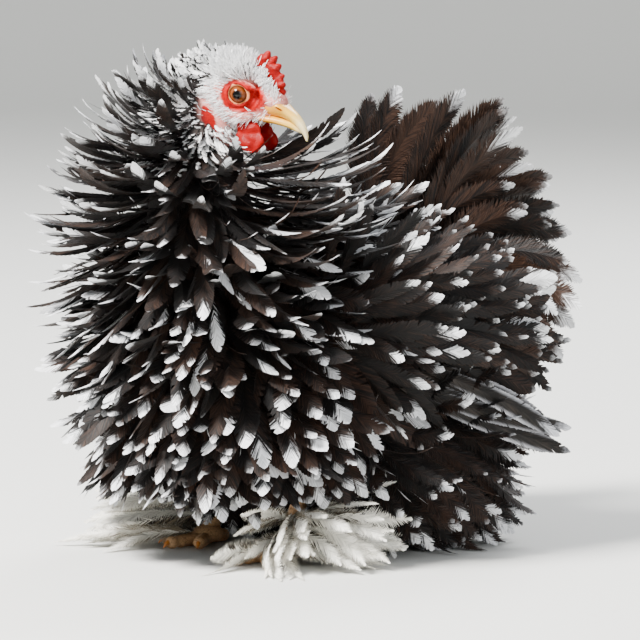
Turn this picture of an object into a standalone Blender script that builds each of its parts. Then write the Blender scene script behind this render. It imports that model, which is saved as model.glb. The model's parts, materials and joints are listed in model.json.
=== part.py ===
"""A frizzle-feathered bantam hen at life size, as a still model that stands on its own feet.

Metres, +Z up. The body faces -Y, the bird's left side is +X, and the floor is Z = 0. The head is turned
to the bird's left. Every node is one closed body, and neighbours keep a thin gap. The curled feathers are
separate vanes, rooted in the node that they grow from.
"""

import math
import random

import bmesh
import bpy
from mathutils import Matrix, Vector
from mathutils.bvhtree import BVHTree

GAP = 0.0003
VANE_GAP = 0.0004
FLOOR = 0.0
SEED = 7

TORSO_CENTRE = Vector((0.0, -0.020, 0.090))
TORSO_HALF = Vector((0.049, 0.064, 0.047))
TORSO_RISE = 0.012
TORSO_TAPER = 0.08
TORSO_SQUARENESS = 2.8
PART_Y = 0.000
PART_Z = 0.088
LIE_SOURCE = Vector((0.0, -0.052, 0.150))
# How many directions round the body are tried, and the length and width of a vane
BREAST_COAT = (152, 0.050, 0.0165)
BACK_COAT = (190, 0.060, 0.0160)
ABDOMEN_COAT = (165, 0.052, 0.0165)
# Lift and curl of a body vane in degrees at mid height, and how much more of each low down and high up
BODY_SWEEP = (26, 74)
LOW_SWEEP = (20, 12)
HIGH_SWEEP = (18, 36)
LOW_REACH = 0.045
HIGH_REACH = 0.050

NECK_PATH = [
    Vector((0.000, -0.056, 0.112)),
    Vector((-0.001, -0.060, 0.138)),
    Vector((-0.003, -0.061, 0.164)),
    Vector((-0.006, -0.058, 0.188)),
    Vector((-0.011, -0.055, 0.208)),
]
NECK_RADII = [0.030, 0.029, 0.025, 0.019, 0.010]
# Place up the neck, how many vanes, their length and width, and the degrees that they curl through
NECK_ROWS = [
    (0.13, 11, 0.055, 0.0165, 32, 100),
    (0.27, 12, 0.055, 0.0155, 32, 108),
    (0.40, 12, 0.055, 0.0145, 34, 116),
    (0.53, 11, 0.053, 0.0140, 36, 126),
    (0.66, 10, 0.050, 0.0130, 38, 136),
    (0.79, 9, 0.046, 0.0120, 44, 144),
    (0.91, 6, 0.040, 0.0105, 58, 150),
]

HEAD_CENTRE = Vector((0.006, -0.0494, 0.211))
HEAD_YAW = math.radians(17)
HEAD_PITCH = math.radians(17)
SKULL_HALF = Vector((0.0205, 0.0122, 0.0145))
EYE_PLACE = Vector((0.0077, 0.0076, 0.0023))
EYE_RADIUS = 0.0047
LID_RADIUS = 0.0046
LID_THICKNESS = 0.0010
LID_DEPTH = 0.0033
EYE_AXIS = Vector((0.30, 1.0, 0.05))
LOBE_PLACE = Vector((-0.0004, 0.0096, -0.0124))
LOBE_HALF = Vector((0.0028, 0.0020, 0.0062))
LOBE_SLANT = math.radians(-45)
# Distance along the head, height, half width and half height of each cross-section
UPPER_BEAK = [
    (0.0150, 0.0008, 0.0066, 0.0058),
    (0.0215, 0.0010, 0.0060, 0.0050),
    (0.0280, 0.0010, 0.0049, 0.0034),
    (0.0340, -0.0005, 0.0036, 0.0026),
    (0.0390, -0.0032, 0.0022, 0.0019),
    (0.0428, -0.0082, 0.0006, 0.0006),
]
LOWER_BEAK = [
    (0.0140, -0.0066, 0.0056, 0.0022),
    (0.0230, -0.0058, 0.0048, 0.0020),
    (0.0300, -0.0052, 0.0037, 0.0019),
    (0.0355, -0.0058, 0.0022, 0.0013),
]
NOSTRIL_PLACE = Vector((0.0255, 0.0052, 0.0026))
NOSTRIL_HALF = Vector((0.0020, 0.0014, 0.0008))
COMB_PLACE = Vector((0.0165, 0.0, 0.0125))
COMB_HALF = Vector((0.0095, 0.0024, 0.0055))
COMB_SLANT = math.radians(40)
COMB_POINTS = 5
COMB_TOP = Vector((0.0100, 0.0, 0.0200))
COMB_RUN = 0.0135
COMB_DROP = 0.0095
COMB_POINT_HALF = Vector((0.0026, 0.0019, 0.0044))
WATTLE_PLACE = Vector((0.0175, 0.0050, -0.0152))
WATTLE_HALF = Vector((0.0070, 0.0015, 0.0060))
WATTLE_SPLAY = math.radians(10)
CROWN_VANES = 16
CROWN_VANE_SIZE = (0.0125, 0.0062)
CROWN_SWEEP = (50, 105)
CROWN_SINK = 0.0015

WING_CENTRE = Vector((0.055, 0.004, 0.102))
WING_HALF = Vector((0.013, 0.044, 0.028))
WING_TILT = math.radians(-14)
WING_SPREAD = math.radians(10)
WING_COVERTS = 19
COVERT_SIZE = (0.037, 0.0140)
COVERT_FLOW = Vector((0.0, 1.0, -0.22))
COVERT_SWEEP = (26, 92)
PRIMARIES = 5
PRIMARY_SIZE = (0.090, 0.0120)
SECONDARIES = 6
SECONDARY_SIZE = (0.052, 0.0150)
FLIGHT_STEP = 0.0013
# How far outside the wing's middle a tier starts, its first root's Y and Z and how far these go up it,
# its first feather's flow and how much more it points up at the last, and its lift and curl in degrees
PRIMARY_TIER = (0.001, (0.014, 0.078), (0.012, 0.012), Vector((0.14, 0.90, -0.48)), 0.16, (4, 16))
SECONDARY_TIER = (0.005, (0.020, 0.088), (0.006, 0.026), Vector((0.16, 0.92, -0.26)), 0.66, (10, 44))
PRIMARY_TAPER = 0.12
SECONDARY_BOW = -0.3

TAIL_ROOT = Vector((0.0, 0.058, 0.116))
TAIL_HALF = Vector((0.020, 0.020, 0.021))
TAIL_VANES = 8
TAIL_VANE_SIZE = (0.085, 0.0190)
TAIL_COVERTS = 8
TAIL_COVERT_SIZE = (0.056, 0.0160)
TAIL_RISE = 98
TAIL_FAN = 112
TAIL_FACING = Vector((1.0, -0.25, 0.10))

THIGH_CENTRE = Vector((0.042, 0.020, 0.048))
THIGH_HALF = Vector((0.021, 0.040, 0.027))
THIGH_VANES = 12
FLUFF_SIZE = (0.049, 0.0165)
FLUFF_FLOW = Vector((0.30, 0.75, -0.55))
FLUFF_SWEEP = (24, 64)

FEET = {"left": Vector((0.030, -0.044, 0.0)), "right": Vector((-0.030, -0.030, 0.0))}
HOCK = Vector((0.004, 0.020, 0.044))
SHANK_RADII = [0.0042, 0.0038, 0.0042, 0.0060]
TOE_LENGTHS = [0.024, 0.030, 0.024, 0.013]
TOE_TURNS = [-34, -2, 30, 176]
TOE_RADIUS = 0.0033
# Share of a toe's length and of its radius for each cross-section, out to the claw's tip
TOE_STATIONS = [(0.0, 1.05), (0.30, 0.88), (0.50, 1.0), (0.74, 0.82), (0.84, 0.42), (1.0, 0.10)]
TOE_HEIGHT = 0.75
PAD_HEIGHT = 0.0035
PAD_HALF = Vector((0.0080, 0.0085, 0.0060))
FOOT_VANES = 10
FOOT_VANE_SIZE = (0.062, 0.0110)
FOOT_FAN_START = -52
FOOT_FAN = 112
FOOT_TIER_HEIGHT = 0.0050

COLOURS = {
    "black_plumage": ((0.020, 0.015, 0.014), 0.6),
    "red_skin": ((0.70, 0.04, 0.03), 0.5),
    "face_skin": ((0.75, 0.35, 0.30), 0.6),
    "horn": ((0.85, 0.60, 0.22), 0.35),
    "eye": ((0.45, 0.20, 0.05), 0.1),
    "scaled_skin": ((0.75, 0.45, 0.16), 0.5),
}

# Share of the length, share of the width, share of the thickness, for each cross-section of a vane
TINY_VANE = [(0.0, 0.55, 1.0), (0.60, 1.0, 0.8)]
SHORT_VANE = [(0.0, 0.30, 0.8), (0.42, 0.92, 1.0), (0.82, 0.80, 0.7)]
LONG_VANE = [(0.0, 0.22, 1.0), (0.28, 0.72, 1.0), (0.56, 1.0, 0.9), (0.84, 0.84, 0.7)]
VANE_THICKNESS = 0.0013
VANE_DROOP = 0.05
CURVE_STEPS = 12
ROOT_DEPTH = 0.0035
MAX_ROOT_MISS = 0.0008

placed = []


def clear_scene():
    for obj in list(bpy.data.objects):
        bpy.data.objects.remove(obj, do_unlink=True)


def material(name):
    found = bpy.data.materials.get(name)
    if found:
        return found
    colour, roughness = COLOURS[name]
    made = bpy.data.materials.new(name)
    made.use_nodes = True
    shader = made.node_tree.nodes["Principled BSDF"]
    shader.inputs["Base Color"].default_value = (*colour, 1)
    shader.inputs["Roughness"].default_value = roughness
    return made


def add_object(name, mesh, finish, parent=None):
    obj = bpy.data.objects.new(name, mesh)
    bpy.context.scene.collection.objects.link(obj)
    obj.parent = parent
    mesh.materials.clear()
    mesh.materials.append(material(finish))
    return obj


def ball_mesh(name, shape, segments=24, rings=14):
    """A UV sphere whose points are moved by shape, a function of the unit direction."""
    mesh = bpy.data.meshes.new(name)
    bm = bmesh.new()
    bmesh.ops.create_uvsphere(bm, u_segments=segments, v_segments=rings, radius=1)
    for vert in bm.verts:
        vert.co = shape(vert.co.normalized())
    bmesh.ops.recalc_face_normals(bm, faces=bm.faces)
    bm.to_mesh(mesh)
    bm.free()
    return mesh


def ellipsoid(centre, half, turn=Matrix.Identity(3)):
    return lambda d: centre + turn @ Vector((half.x * d.x, half.y * d.y, half.z * d.z))


def loft_mesh(name, rings):
    """A closed tube through rings of points, with a flat cap on each end."""
    mesh = bpy.data.meshes.new(name)
    bm = bmesh.new()
    loops = [[bm.verts.new(point) for point in ring] for ring in rings]
    count = len(loops[0])
    for lower, upper in zip(loops, loops[1:]):
        for i in range(count):
            j = (i + 1) % count
            bm.faces.new((lower[i], lower[j], upper[j], upper[i]))
    bm.faces.new(loops[0])
    bm.faces.new(loops[-1])
    bmesh.ops.recalc_face_normals(bm, faces=bm.faces)
    bm.to_mesh(mesh)
    bm.free()
    return mesh


def ring(centre, along, wide, half_wide, half_high, count):
    """An ellipse of points round centre, square to along, with its first axis towards wide."""
    along = along.normalized()
    side = (wide - along * wide.dot(along)).normalized()
    up = along.cross(side)
    angles = [2 * math.pi * i / count for i in range(count)]
    return [
        centre + side * (half_wide * math.cos(a)) + up * (half_high * math.sin(a))
        for a in angles
    ]


def spline(items, t):
    """The point or value at t, from 0 to 1, on a smooth curve through all the items."""
    spans = len(items) - 1
    span = min(int(t * spans), spans - 1)
    local = t * spans - span
    a, b, c, d = (items[max(0, min(spans, span + k))] for k in (-1, 0, 1, 2))
    return 0.5 * (
        2 * b
        + (c - a) * local
        + (2 * a - 5 * b + 4 * c - d) * local**2
        + (3 * b - a - 3 * c + d) * local**3
    )


def tube_rings(path, radii, wide, steps, count):
    made = []
    for i in range(steps + 1):
        t = i / steps
        along = spline(path, min(1, t + 0.02)) - spline(path, max(0, t - 0.02))
        radius = spline(radii, t)
        made.append(ring(spline(path, t), along, wide, radius, radius, count))
    return made


def keep_evaluated(obj):
    """Makes the mesh that the modifiers leave the object's own, and drops the modifiers."""
    graph = bpy.context.evaluated_depsgraph_get()
    mesh = bpy.data.meshes.new_from_object(obj.evaluated_get(graph))
    obj.modifiers.clear()
    obj.data = mesh


def swollen(obj, by=GAP):
    """A hidden copy of obj, larger by a distance all round, to cut neighbours with."""
    copy = obj.copy()
    copy.data = obj.data.copy()
    bpy.context.scene.collection.objects.link(copy)
    bm = bmesh.new()
    bm.from_mesh(copy.data)
    bm.normal_update()
    moves = [vert.normal * by for vert in bm.verts]
    for vert, move in zip(bm.verts, moves):
        vert.co += move
    bm.to_mesh(copy.data)
    bm.free()
    copy.hide_render = True
    copy.display_type = "WIRE"
    return copy


def keep_largest(obj):
    """Keeps the one closed surface of obj that holds the most volume."""
    bm = bmesh.new()
    bm.from_mesh(obj.data)
    left = set(bm.faces)
    shells = []
    while left:
        shell = [left.pop()]
        for face in shell:
            for edge in face.edges:
                for neighbour in edge.link_faces:
                    if neighbour in left:
                        left.remove(neighbour)
                        shell.append(neighbour)
        shells.append(shell)

    def volume(shell):
        total = 0.0
        for face in shell:
            corners = [vert.co for vert in face.verts]
            for b, c in zip(corners[1:], corners[2:]):
                total += corners[0].dot(b.cross(c)) / 6
        return total

    shells.sort(key=volume)
    loose = [face for shell in shells[:-1] for face in shell]
    bmesh.ops.delete(bm, geom=loose, context="FACES")
    bm.to_mesh(obj.data)
    bm.free()


def cut_clear(obj, *neighbours):
    """Cuts away from obj all that lies within the gap of its neighbours."""
    cutters = [swollen(neighbour) for neighbour in neighbours]
    for cutter in cutters:
        modifier = obj.modifiers.new("Clear", "BOOLEAN")
        modifier.operation = "DIFFERENCE"
        modifier.object = cutter
    keep_evaluated(obj)
    for cutter in cutters:
        bpy.data.objects.remove(cutter, do_unlink=True)
    keep_largest(obj)


def join(obj, pieces):
    """Fuses the pieces into obj with one union, and removes them."""
    if not pieces:
        return
    held = bpy.data.collections.new(obj.name + "_pieces")
    bpy.context.scene.collection.children.link(held)
    for piece in pieces:
        held.objects.link(piece)
    modifier = obj.modifiers.new("Join", "BOOLEAN")
    modifier.operation = "UNION"
    modifier.operand_type = "COLLECTION"
    modifier.collection = held
    modifier.solver = "MANIFOLD"
    keep_evaluated(obj)
    for piece in pieces:
        bpy.data.objects.remove(piece, do_unlink=True)
    bpy.data.collections.remove(held)
    keep_largest(obj)


def sliced(mesh, point, normal):
    """A copy of a closed mesh with all on the normal's side of a plane cut off, and closed again."""
    copy = mesh.copy()
    bm = bmesh.new()
    bm.from_mesh(copy)
    everything = bm.verts[:] + bm.edges[:] + bm.faces[:]
    bmesh.ops.bisect_plane(
        bm, geom=everything, plane_co=point, plane_no=normal, clear_outer=True
    )
    rim = [edge for edge in bm.edges if edge.is_boundary]
    bmesh.ops.holes_fill(bm, edges=rim, sides=0)
    bmesh.ops.recalc_face_normals(bm, faces=bm.faces)
    bm.to_mesh(copy)
    bm.free()
    return copy


def level_floor(mesh):
    """Flattens whatever would reach below the floor."""
    for vert in mesh.vertices:
        vert.co.z = max(vert.co.z, FLOOR)
    return mesh


def tree_of(obj):
    """A search tree of the object's faces, in world space."""
    mesh = obj.data
    mesh.calc_loop_triangles()
    points = [obj.matrix_world @ vert.co for vert in mesh.vertices]
    faces = [tuple(triangle.vertices) for triangle in mesh.loop_triangles]
    return BVHTree.FromPolygons(points, faces)


def stand_in_way(obj):
    """Notes a core or a bare piece, so that no other node's vane crosses it."""
    corners = [obj.matrix_world @ Vector(corner) for corner in obj.bound_box]
    centre = sum(corners, Vector()) / 8
    reach = max((corner - centre).length for corner in corners)
    placed.append((obj.name, centre, reach, tree_of(obj)))


def vane(root, lie, out, sweep, length, width, stations, side_bend=0.0, twist=0.0, grow=0.0):
    """Points and faces of one curled, tapered vane as a closed body.

    It leaves the root at sweep[0] degrees from lie towards out, and its tip points at sweep[1] degrees.
    side_bend bows it across, twist turns its face, and grow makes a larger one for testing distances.
    """
    side = lie.cross(out).normalized()
    centres, tangents = [root.copy()], []
    for i in range(CURVE_STEPS):
        s = (i + 0.5) / CURVE_STEPS
        angle = math.radians(sweep[0] + (sweep[1] - sweep[0]) * s)
        heading = lie * math.cos(angle) + out * math.sin(angle) + side * (side_bend * s)
        tangents.append(heading.normalized())
        centres.append(centres[-1] + tangents[-1] * (length / CURVE_STEPS))
    tangents.append(tangents[-1])
    low = FLOOR + VANE_THICKNESS * 0.7
    points = []
    for share, wide, thick in stations:
        at = share * CURVE_STEPS
        i = min(int(at), CURVE_STEPS - 1)
        centre = centres[i].lerp(centres[i + 1], at - i)
        centre.z = max(centre.z, low)
        along = tangents[i]
        across = (side - along * side.dot(along)).normalized()
        across = Matrix.Rotation(math.radians(twist) * share, 3, along) @ across
        up = across.cross(along)
        half_wide = width / 2 * wide + grow
        half_thick = VANE_THICKNESS / 2 * thick + grow
        droop = up * (width * VANE_DROOP * wide)
        points += [
            centre - across * half_wide - droop,
            centre + up * half_thick,
            centre + across * half_wide - droop,
            centre - up * half_thick,
        ]
    tip = centres[-1] + tangents[-1] * grow
    tip.z = max(tip.z, low)
    points.append(tip)
    for point in points:
        point.z = max(point.z, FLOOR)
    faces = [(0, 2, 1), (0, 3, 2)]
    for k in range(len(stations) - 1):
        a, b = 4 * k, 4 * k + 4
        for edge, spine in ((0, 1), (2, 1), (0, 3), (2, 3)):
            first = (a + edge, a + spine, b + spine)
            second = (a + edge, b + spine, b + edge)
            if (edge, spine) in ((2, 1), (0, 3)):
                first, second = first[::-1], second[::-1]
            faces += [first, second]
    last, end = 4 * (len(stations) - 1), len(points) - 1
    for i in range(4):
        faces.append((last + i, last + (i + 1) % 4, end))
    return points, faces


def crossing(owner, points, faces, own_faces):
    """Whether a vane crosses a piece of another node, and whether it crosses one of its own node."""
    centre = sum(points, Vector()) / len(points)
    reach = max((point - centre).length for point in points)
    tree = BVHTree.FromPolygons(points, faces)
    own_tree = BVHTree.FromPolygons(points, own_faces)
    own = False
    for name, other_centre, other_reach, other_tree in placed:
        if (other_centre - centre).length > reach + other_reach:
            continue
        if name == owner:
            own = own or bool(own_tree.overlap(other_tree))
        elif tree.overlap(other_tree):
            return True, own
    return False, own


# Degrees of lift, share of the length and degrees across, tried in turn until a vane is clear
TRIES = [
    (0, 1.0, 0),
    (9, 1.0, 0),
    (0, 1.0, 11),
    (0, 1.0, -11),
    (-9, 1.0, 0),
    (18, 0.9, 8),
    (18, 0.9, -8),
    (0, 0.8, 0),
    (24, 0.75, 0),
    (0, 0.6, 0),
]


def grow_vane(
    owner, root, lie, out, sweep, size, stations=SHORT_VANE, side_bend=0.0, twist=0.0, sink=ROOT_DEPTH
):
    """Places one vane on a node clear of every other node, and returns its object, or None."""
    fallback = None
    start = root - out * sink
    for lift, share, across in TRIES:
        turned = Matrix.Rotation(math.radians(across), 3, out) @ lie
        angles = (sweep[0] + lift, sweep[1] + lift)
        length, width = size[0] * share, size[1]
        shape = (start, turned, out, angles, length, width, stations, side_bend, twist)
        points, faces = vane(*shape, grow=VANE_GAP)
        free = [face for face in faces if min(face) >= 4]
        other, own = crossing(owner, points, faces, free)
        if other:
            continue
        if own:
            fallback = fallback or shape
            continue
        return settle_vane(owner, shape)
    if fallback:
        return settle_vane(owner, fallback)
    return None


def settle_vane(owner, shape):
    points, faces = vane(*shape)
    mesh = bpy.data.meshes.new("vane")
    mesh.from_pydata(points, [], faces)
    obj = bpy.data.objects.new("vane", mesh)
    bpy.context.scene.collection.objects.link(obj)
    centre = sum(points, Vector()) / len(points)
    reach = max((point - centre).length for point in points)
    placed.append((owner, centre, reach, BVHTree.FromPolygons(points, faces)))
    return obj


def even_directions(count):
    """Unit directions spread evenly over a sphere, from the bottom up."""
    golden = math.pi * (3 - math.sqrt(5))
    for i in range(count):
        z = -1 + 2 * (i + 0.5) / count
        flat = math.sqrt(1 - z * z)
        yield Vector((flat * math.cos(golden * i), flat * math.sin(golden * i), z))


def surface_at(shape, direction):
    """The point of a mapped sphere in a direction, and the normal there."""
    step = 0.02
    first = direction.orthogonal().normalized()
    second = direction.cross(first)
    ahead = shape((direction + first * step).normalized()) - shape((direction - first * step).normalized())
    across = shape((direction + second * step).normalized()) - shape((direction - second * step).normalized())
    return shape(direction), ahead.cross(across).normalized()


def along_surface(flow, normal):
    flat = flow - normal * flow.dot(normal)
    return flat.normalized()


def torso_shape(d):
    """An egg with rather square shoulders, deeper in front and narrower behind."""
    flat = math.hypot(d.x, d.y)
    n = TORSO_SQUARENESS
    d = d / (flat**n + abs(d.z) ** n) ** (1 / n)
    return TORSO_CENTRE + Vector(
        (
            TORSO_HALF.x * d.x * (1 - TORSO_TAPER * d.y),
            TORSO_HALF.y * d.y,
            TORSO_HALF.z * d.z + TORSO_RISE * d.y,
        )
    )


def make_torso():
    whole = ball_mesh("torso", torso_shape, 18, 10)
    half_gap = Vector((0, GAP / 2, 0))
    lift = Vector((0, 0, GAP / 2))
    cut = Vector((0, PART_Y, PART_Z))
    front = sliced(whole, cut - half_gap, Vector((0, 1, 0)))
    rear = sliced(whole, cut + half_gap, Vector((0, -1, 0)))
    upper = sliced(rear, cut + lift, Vector((0, 0, -1)))
    lower = sliced(rear, cut - lift, Vector((0, 0, 1)))
    return {
        "breast": add_object("breast", front, "black_plumage"),
        "back": add_object("back", upper, "black_plumage"),
        "abdomen": add_object("abdomen", lower, "black_plumage"),
    }


def torso_part(root):
    if root.y < PART_Y:
        return "breast"
    return "back" if root.z > PART_Z else "abdomen"


def feather_torso(name, coat, chance):
    """Curled body feathers that lie away from the neck and lift off the body, most of all high up."""
    vanes = []
    count, length, width = coat
    for direction in even_directions(count):
        root, normal = surface_at(torso_shape, direction)
        if torso_part(root) != name:
            continue
        lie = along_surface(root - LIE_SOURCE, normal)
        lie = Matrix.Rotation(chance.uniform(-0.16, 0.16), 3, normal) @ lie
        high = max(0.0, min(1.0, (root.z - TORSO_CENTRE.z) / HIGH_REACH))
        low = max(0.0, min(1.0, (TORSO_CENTRE.z - root.z) / LOW_REACH))
        sweep = [a + b * low + c * high for a, b, c in zip(BODY_SWEEP, LOW_SWEEP, HIGH_SWEEP)]
        size = (length * chance.uniform(0.88, 1.1), width * chance.uniform(0.9, 1.08))
        made = grow_vane(
            name, root, lie, normal, sweep, size,
            side_bend=chance.uniform(-0.25, 0.25), twist=chance.uniform(-22, 22),
        )
        if made:
            vanes.append(made)
    return vanes


def make_neck(torso):
    rings = tube_rings(NECK_PATH, NECK_RADII, Vector((1, 0, 0)), 5, 14)
    neck = add_object("neck", loft_mesh("neck", rings), "black_plumage")
    cut_clear(neck, *torso.values())
    return neck


def feather_neck(neck, chance):
    """The ruff: rows of narrow hackles that stand out from the neck and curl up towards the head."""
    vanes = []
    skin = tree_of(neck)
    for row, (t, count, length, width, lift, curl) in enumerate(NECK_ROWS):
        centre = spline(NECK_PATH, t)
        along = (spline(NECK_PATH, t + 0.03) - spline(NECK_PATH, t - 0.03)).normalized()
        radius = spline(NECK_RADII, t)
        for i in range(count):
            turn = 2 * math.pi * (i + 0.5 * (row % 2)) / count + chance.uniform(-0.06, 0.06)
            out = Vector((math.cos(turn), math.sin(turn), 0))
            out = along_surface(out, along)
            root = centre + out * radius
            if skin.find_nearest(root)[3] > MAX_ROOT_MISS:
                continue
            size = (length * chance.uniform(0.88, 1.1), width)
            made = grow_vane(
                "neck", root, -along, out, (lift, curl), size,
                side_bend=chance.uniform(-0.3, 0.3), twist=chance.uniform(-38, 38),
            )
            if made:
                vanes.append(made)
    return vanes


def skull_shape(d):
    """A rounded cranium that narrows towards the bill, with full cheeks."""
    forward = max(0.0, d.x)
    width = SKULL_HALF.y * (1 - 0.42 * forward**3)
    height = SKULL_HALF.z * (1 - 0.30 * forward**3)
    return Vector((SKULL_HALF.x * d.x, width * d.y, height * d.z - 0.0015 * forward))


def torus_mesh(name, centre, axis, major, minor):
    bpy.ops.mesh.primitive_torus_add(
        major_segments=10, minor_segments=4, major_radius=major, minor_radius=minor
    )
    made = bpy.context.object
    mesh = made.data
    mesh.name = name
    bpy.data.objects.remove(made, do_unlink=True)
    turn = Vector((0, 0, 1)).rotation_difference(axis).to_matrix().to_4x4()
    mesh.transform(Matrix.Translation(centre) @ turn)
    return mesh


def on_side(place, side):
    """A place given for the bird's left, moved to the left where side is 1, or mirrored where it is -1."""
    return Vector((place.x, place.y * side, place.z))


def make_beak(axes, shells):
    """The upper bill with its hooked tip and nostrils, and the lower bill under the line of the mouth."""
    places = [Vector((x, 0, z)) for x, z, wide, high in UPPER_BEAK]
    rings = []
    for i, (x, z, wide, high) in enumerate(UPPER_BEAK):
        along = places[min(len(places) - 1, i + 1)] - places[max(0, i - 1)]
        rings.append(ring(places[i], along, Vector((0, 1, 0)), wide, high, 10))
    upper = add_object("beak_upper", loft_mesh("beak_upper", rings), "horn", axes)
    for side in (1, -1):
        shape = ellipsoid(on_side(NOSTRIL_PLACE, side), NOSTRIL_HALF)
        nostril = add_object("nostril", ball_mesh("nostril", shape, 7, 5), "horn", axes)
        modifier = upper.modifiers.new("Nostril", "BOOLEAN")
        modifier.operation = "DIFFERENCE"
        modifier.object = nostril
        keep_evaluated(upper)
        bpy.data.objects.remove(nostril, do_unlink=True)
    cut_clear(upper, *shells)
    rings = [
        ring(Vector((x, 0, z)), Vector((1, 0, 0)), Vector((0, 1, 0)), wide, high, 8)
        for x, z, wide, high in LOWER_BEAK
    ]
    lower = add_object("beak_lower", loft_mesh("beak_lower", rings), "horn", axes)
    cut_clear(lower, *shells, upper)
    return upper, lower


def make_comb(axes, below):
    """A small single comb: a low fleshy base with a row of blunt points that lean forward."""
    base = ellipsoid(COMB_PLACE, COMB_HALF, Matrix.Rotation(COMB_SLANT, 3, "Y"))
    comb = add_object("comb", ball_mesh("comb", base, 12, 6), "red_skin", axes)
    points = []
    for i in range(COMB_POINTS):
        share = i / (COMB_POINTS - 1)
        place = COMB_TOP + Vector((COMB_RUN * share, 0, -COMB_DROP * share**1.6))
        turn = Matrix.Rotation(math.radians(6 + 54 * share), 3, "Y")
        shape = ellipsoid(place, COMB_POINT_HALF, turn)
        points.append(add_object("point", ball_mesh("point", shape, 6, 4), "red_skin", axes))
    join(comb, points)
    cut_clear(comb, *below)
    return comb


def make_wattles(axes, above):
    made = []
    for side, name in ((1, "wattle_left"), (-1, "wattle_right")):
        turn = Matrix.Rotation(WATTLE_SPLAY * side, 3, "X")
        shape = ellipsoid(on_side(WATTLE_PLACE, side), WATTLE_HALF, turn)
        wattle = add_object(name, ball_mesh(name, shape, 12, 7), "red_skin", axes)
        cut_clear(wattle, *above)
        made.append(wattle)
    return made


def make_head(neck):
    """The bare head: skull, cheeks, lids and ear lobes as one piece, with eyes set in their sockets."""
    axes = bpy.data.objects.new("head_axes", None)
    bpy.context.scene.collection.objects.link(axes)
    axes.location = HEAD_CENTRE
    axes.rotation_euler = (0, HEAD_PITCH, HEAD_YAW)
    bpy.context.view_layer.update()
    head = add_object("head", ball_mesh("head", skull_shape, 18, 12), "face_skin", axes)
    eyes, extras = [], []
    for side, name in ((1, "eye_left"), (-1, "eye_right")):
        place = on_side(EYE_PLACE, side)
        shape = ellipsoid(place, Vector((EYE_RADIUS,) * 3))
        eyes.append(add_object(name, ball_mesh(name, shape, 12, 7), "eye", axes))
        axis = on_side(EYE_AXIS, side).normalized()
        lid = torus_mesh("lid", place + axis * LID_DEPTH, axis, LID_RADIUS, LID_THICKNESS)
        extras.append(add_object("lid", lid, "face_skin", axes))
        lobe = ellipsoid(on_side(LOBE_PLACE, side), LOBE_HALF, Matrix.Rotation(LOBE_SLANT, 3, "Y"))
        extras.append(add_object("lobe", ball_mesh("lobe", lobe, 8, 6), "red_skin", axes))
    shells = [swollen(piece, 0) for piece in (head, *extras)]
    join(head, extras)
    cut_clear(head, *eyes)
    upper, lower = make_beak(axes, shells)
    comb = make_comb(axes, [*shells, upper])
    wattles = make_wattles(axes, [*shells, upper, lower])
    cut_clear(neck, *shells, lower, *wattles)
    for shell in shells:
        bpy.data.objects.remove(shell, do_unlink=True)
    return axes, [head, upper, lower, comb, *eyes, *wattles]


def feather_head(axes, chance):
    """Short upright feathers on the crown and the back of the head, clear of the face."""
    vanes = []
    frame = axes.matrix_world
    turn = frame.to_3x3()
    for direction in even_directions(CROWN_VANES * 4):
        bare_face = direction.x > 0.35 or direction.z < -0.25 or (direction.x > -0.1 and direction.z < 0.55)
        if bare_face or (direction.x > 0.1 and abs(direction.y) < 0.16):
            continue
        root, normal = surface_at(skull_shape, direction)
        lie = along_surface(Vector((-1, 0, -0.2)), normal)
        size = (CROWN_VANE_SIZE[0] * chance.uniform(0.85, 1.1), CROWN_VANE_SIZE[1])
        made = grow_vane(
            "head", frame @ root, turn @ lie, turn @ normal, CROWN_SWEEP, size, TINY_VANE,
            side_bend=chance.uniform(-0.2, 0.2), sink=CROWN_SINK,
        )
        if made:
            made.parent = axes
            made.matrix_parent_inverse = frame.inverted()
            vanes.append(made)
    return vanes


def wing_shape(sign):
    turn = Matrix.Rotation(-WING_SPREAD * sign, 3, "Z") @ Matrix.Rotation(WING_TILT, 3, "X")
    centre = Vector((WING_CENTRE.x * sign, WING_CENTRE.y, WING_CENTRE.z))
    return ellipsoid(centre, WING_HALF, turn)


def make_wing(sign, name, *inner):
    wing = add_object(name, ball_mesh(name, wing_shape(sign), 12, 8), "black_plumage")
    cut_clear(wing, *inner)
    return wing


def feather_wing(name, sign, chance):
    """Flight feathers in two tiers along the trailing edge, under rows of curled coverts."""
    vanes = []
    for count, size, taper, bow, tier in (
        (PRIMARIES, PRIMARY_SIZE, PRIMARY_TAPER, 0.0, PRIMARY_TIER),
        (SECONDARIES, SECONDARY_SIZE, 0.0, SECONDARY_BOW, SECONDARY_TIER),
    ):
        aside, start, run, flow, turn_up, sweep = tier
        for i in range(count):
            share = i / (count - 1)
            out_by = WING_CENTRE.x + aside + FLIGHT_STEP * i
            root = Vector((out_by * sign, start[0] + run[0] * share, start[1] + run[1] * share))
            lie = Vector((flow.x * sign, flow.y, flow.z + turn_up * share)).normalized()
            vanes.append(grow_vane(
                name, root, lie, along_surface(Vector((sign, 0, 0)), lie), sweep,
                (size[0] * (1 - taper * share), size[1]), side_bend=bow * sign, sink=0.0,
            ))
    shape = wing_shape(sign)
    for direction in even_directions(WING_COVERTS * 2):
        if direction.x * sign < 0.12:
            continue
        root, normal = surface_at(shape, direction)
        lie = along_surface(COVERT_FLOW, normal)
        lie = Matrix.Rotation(chance.uniform(-0.15, 0.15), 3, normal) @ lie
        size = (COVERT_SIZE[0] * chance.uniform(0.9, 1.12), COVERT_SIZE[1])
        vanes.append(grow_vane(
            name, root, lie, normal, COVERT_SWEEP, size,
            side_bend=-0.35 * sign, twist=chance.uniform(-18, 18),
        ))
    return [made for made in vanes if made]


def make_tail(*inner):
    mesh = ball_mesh("tail", ellipsoid(TAIL_ROOT, TAIL_HALF), 14, 9)
    tail = add_object("tail", mesh, "black_plumage")
    cut_clear(tail, *inner)
    return tail


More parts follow.
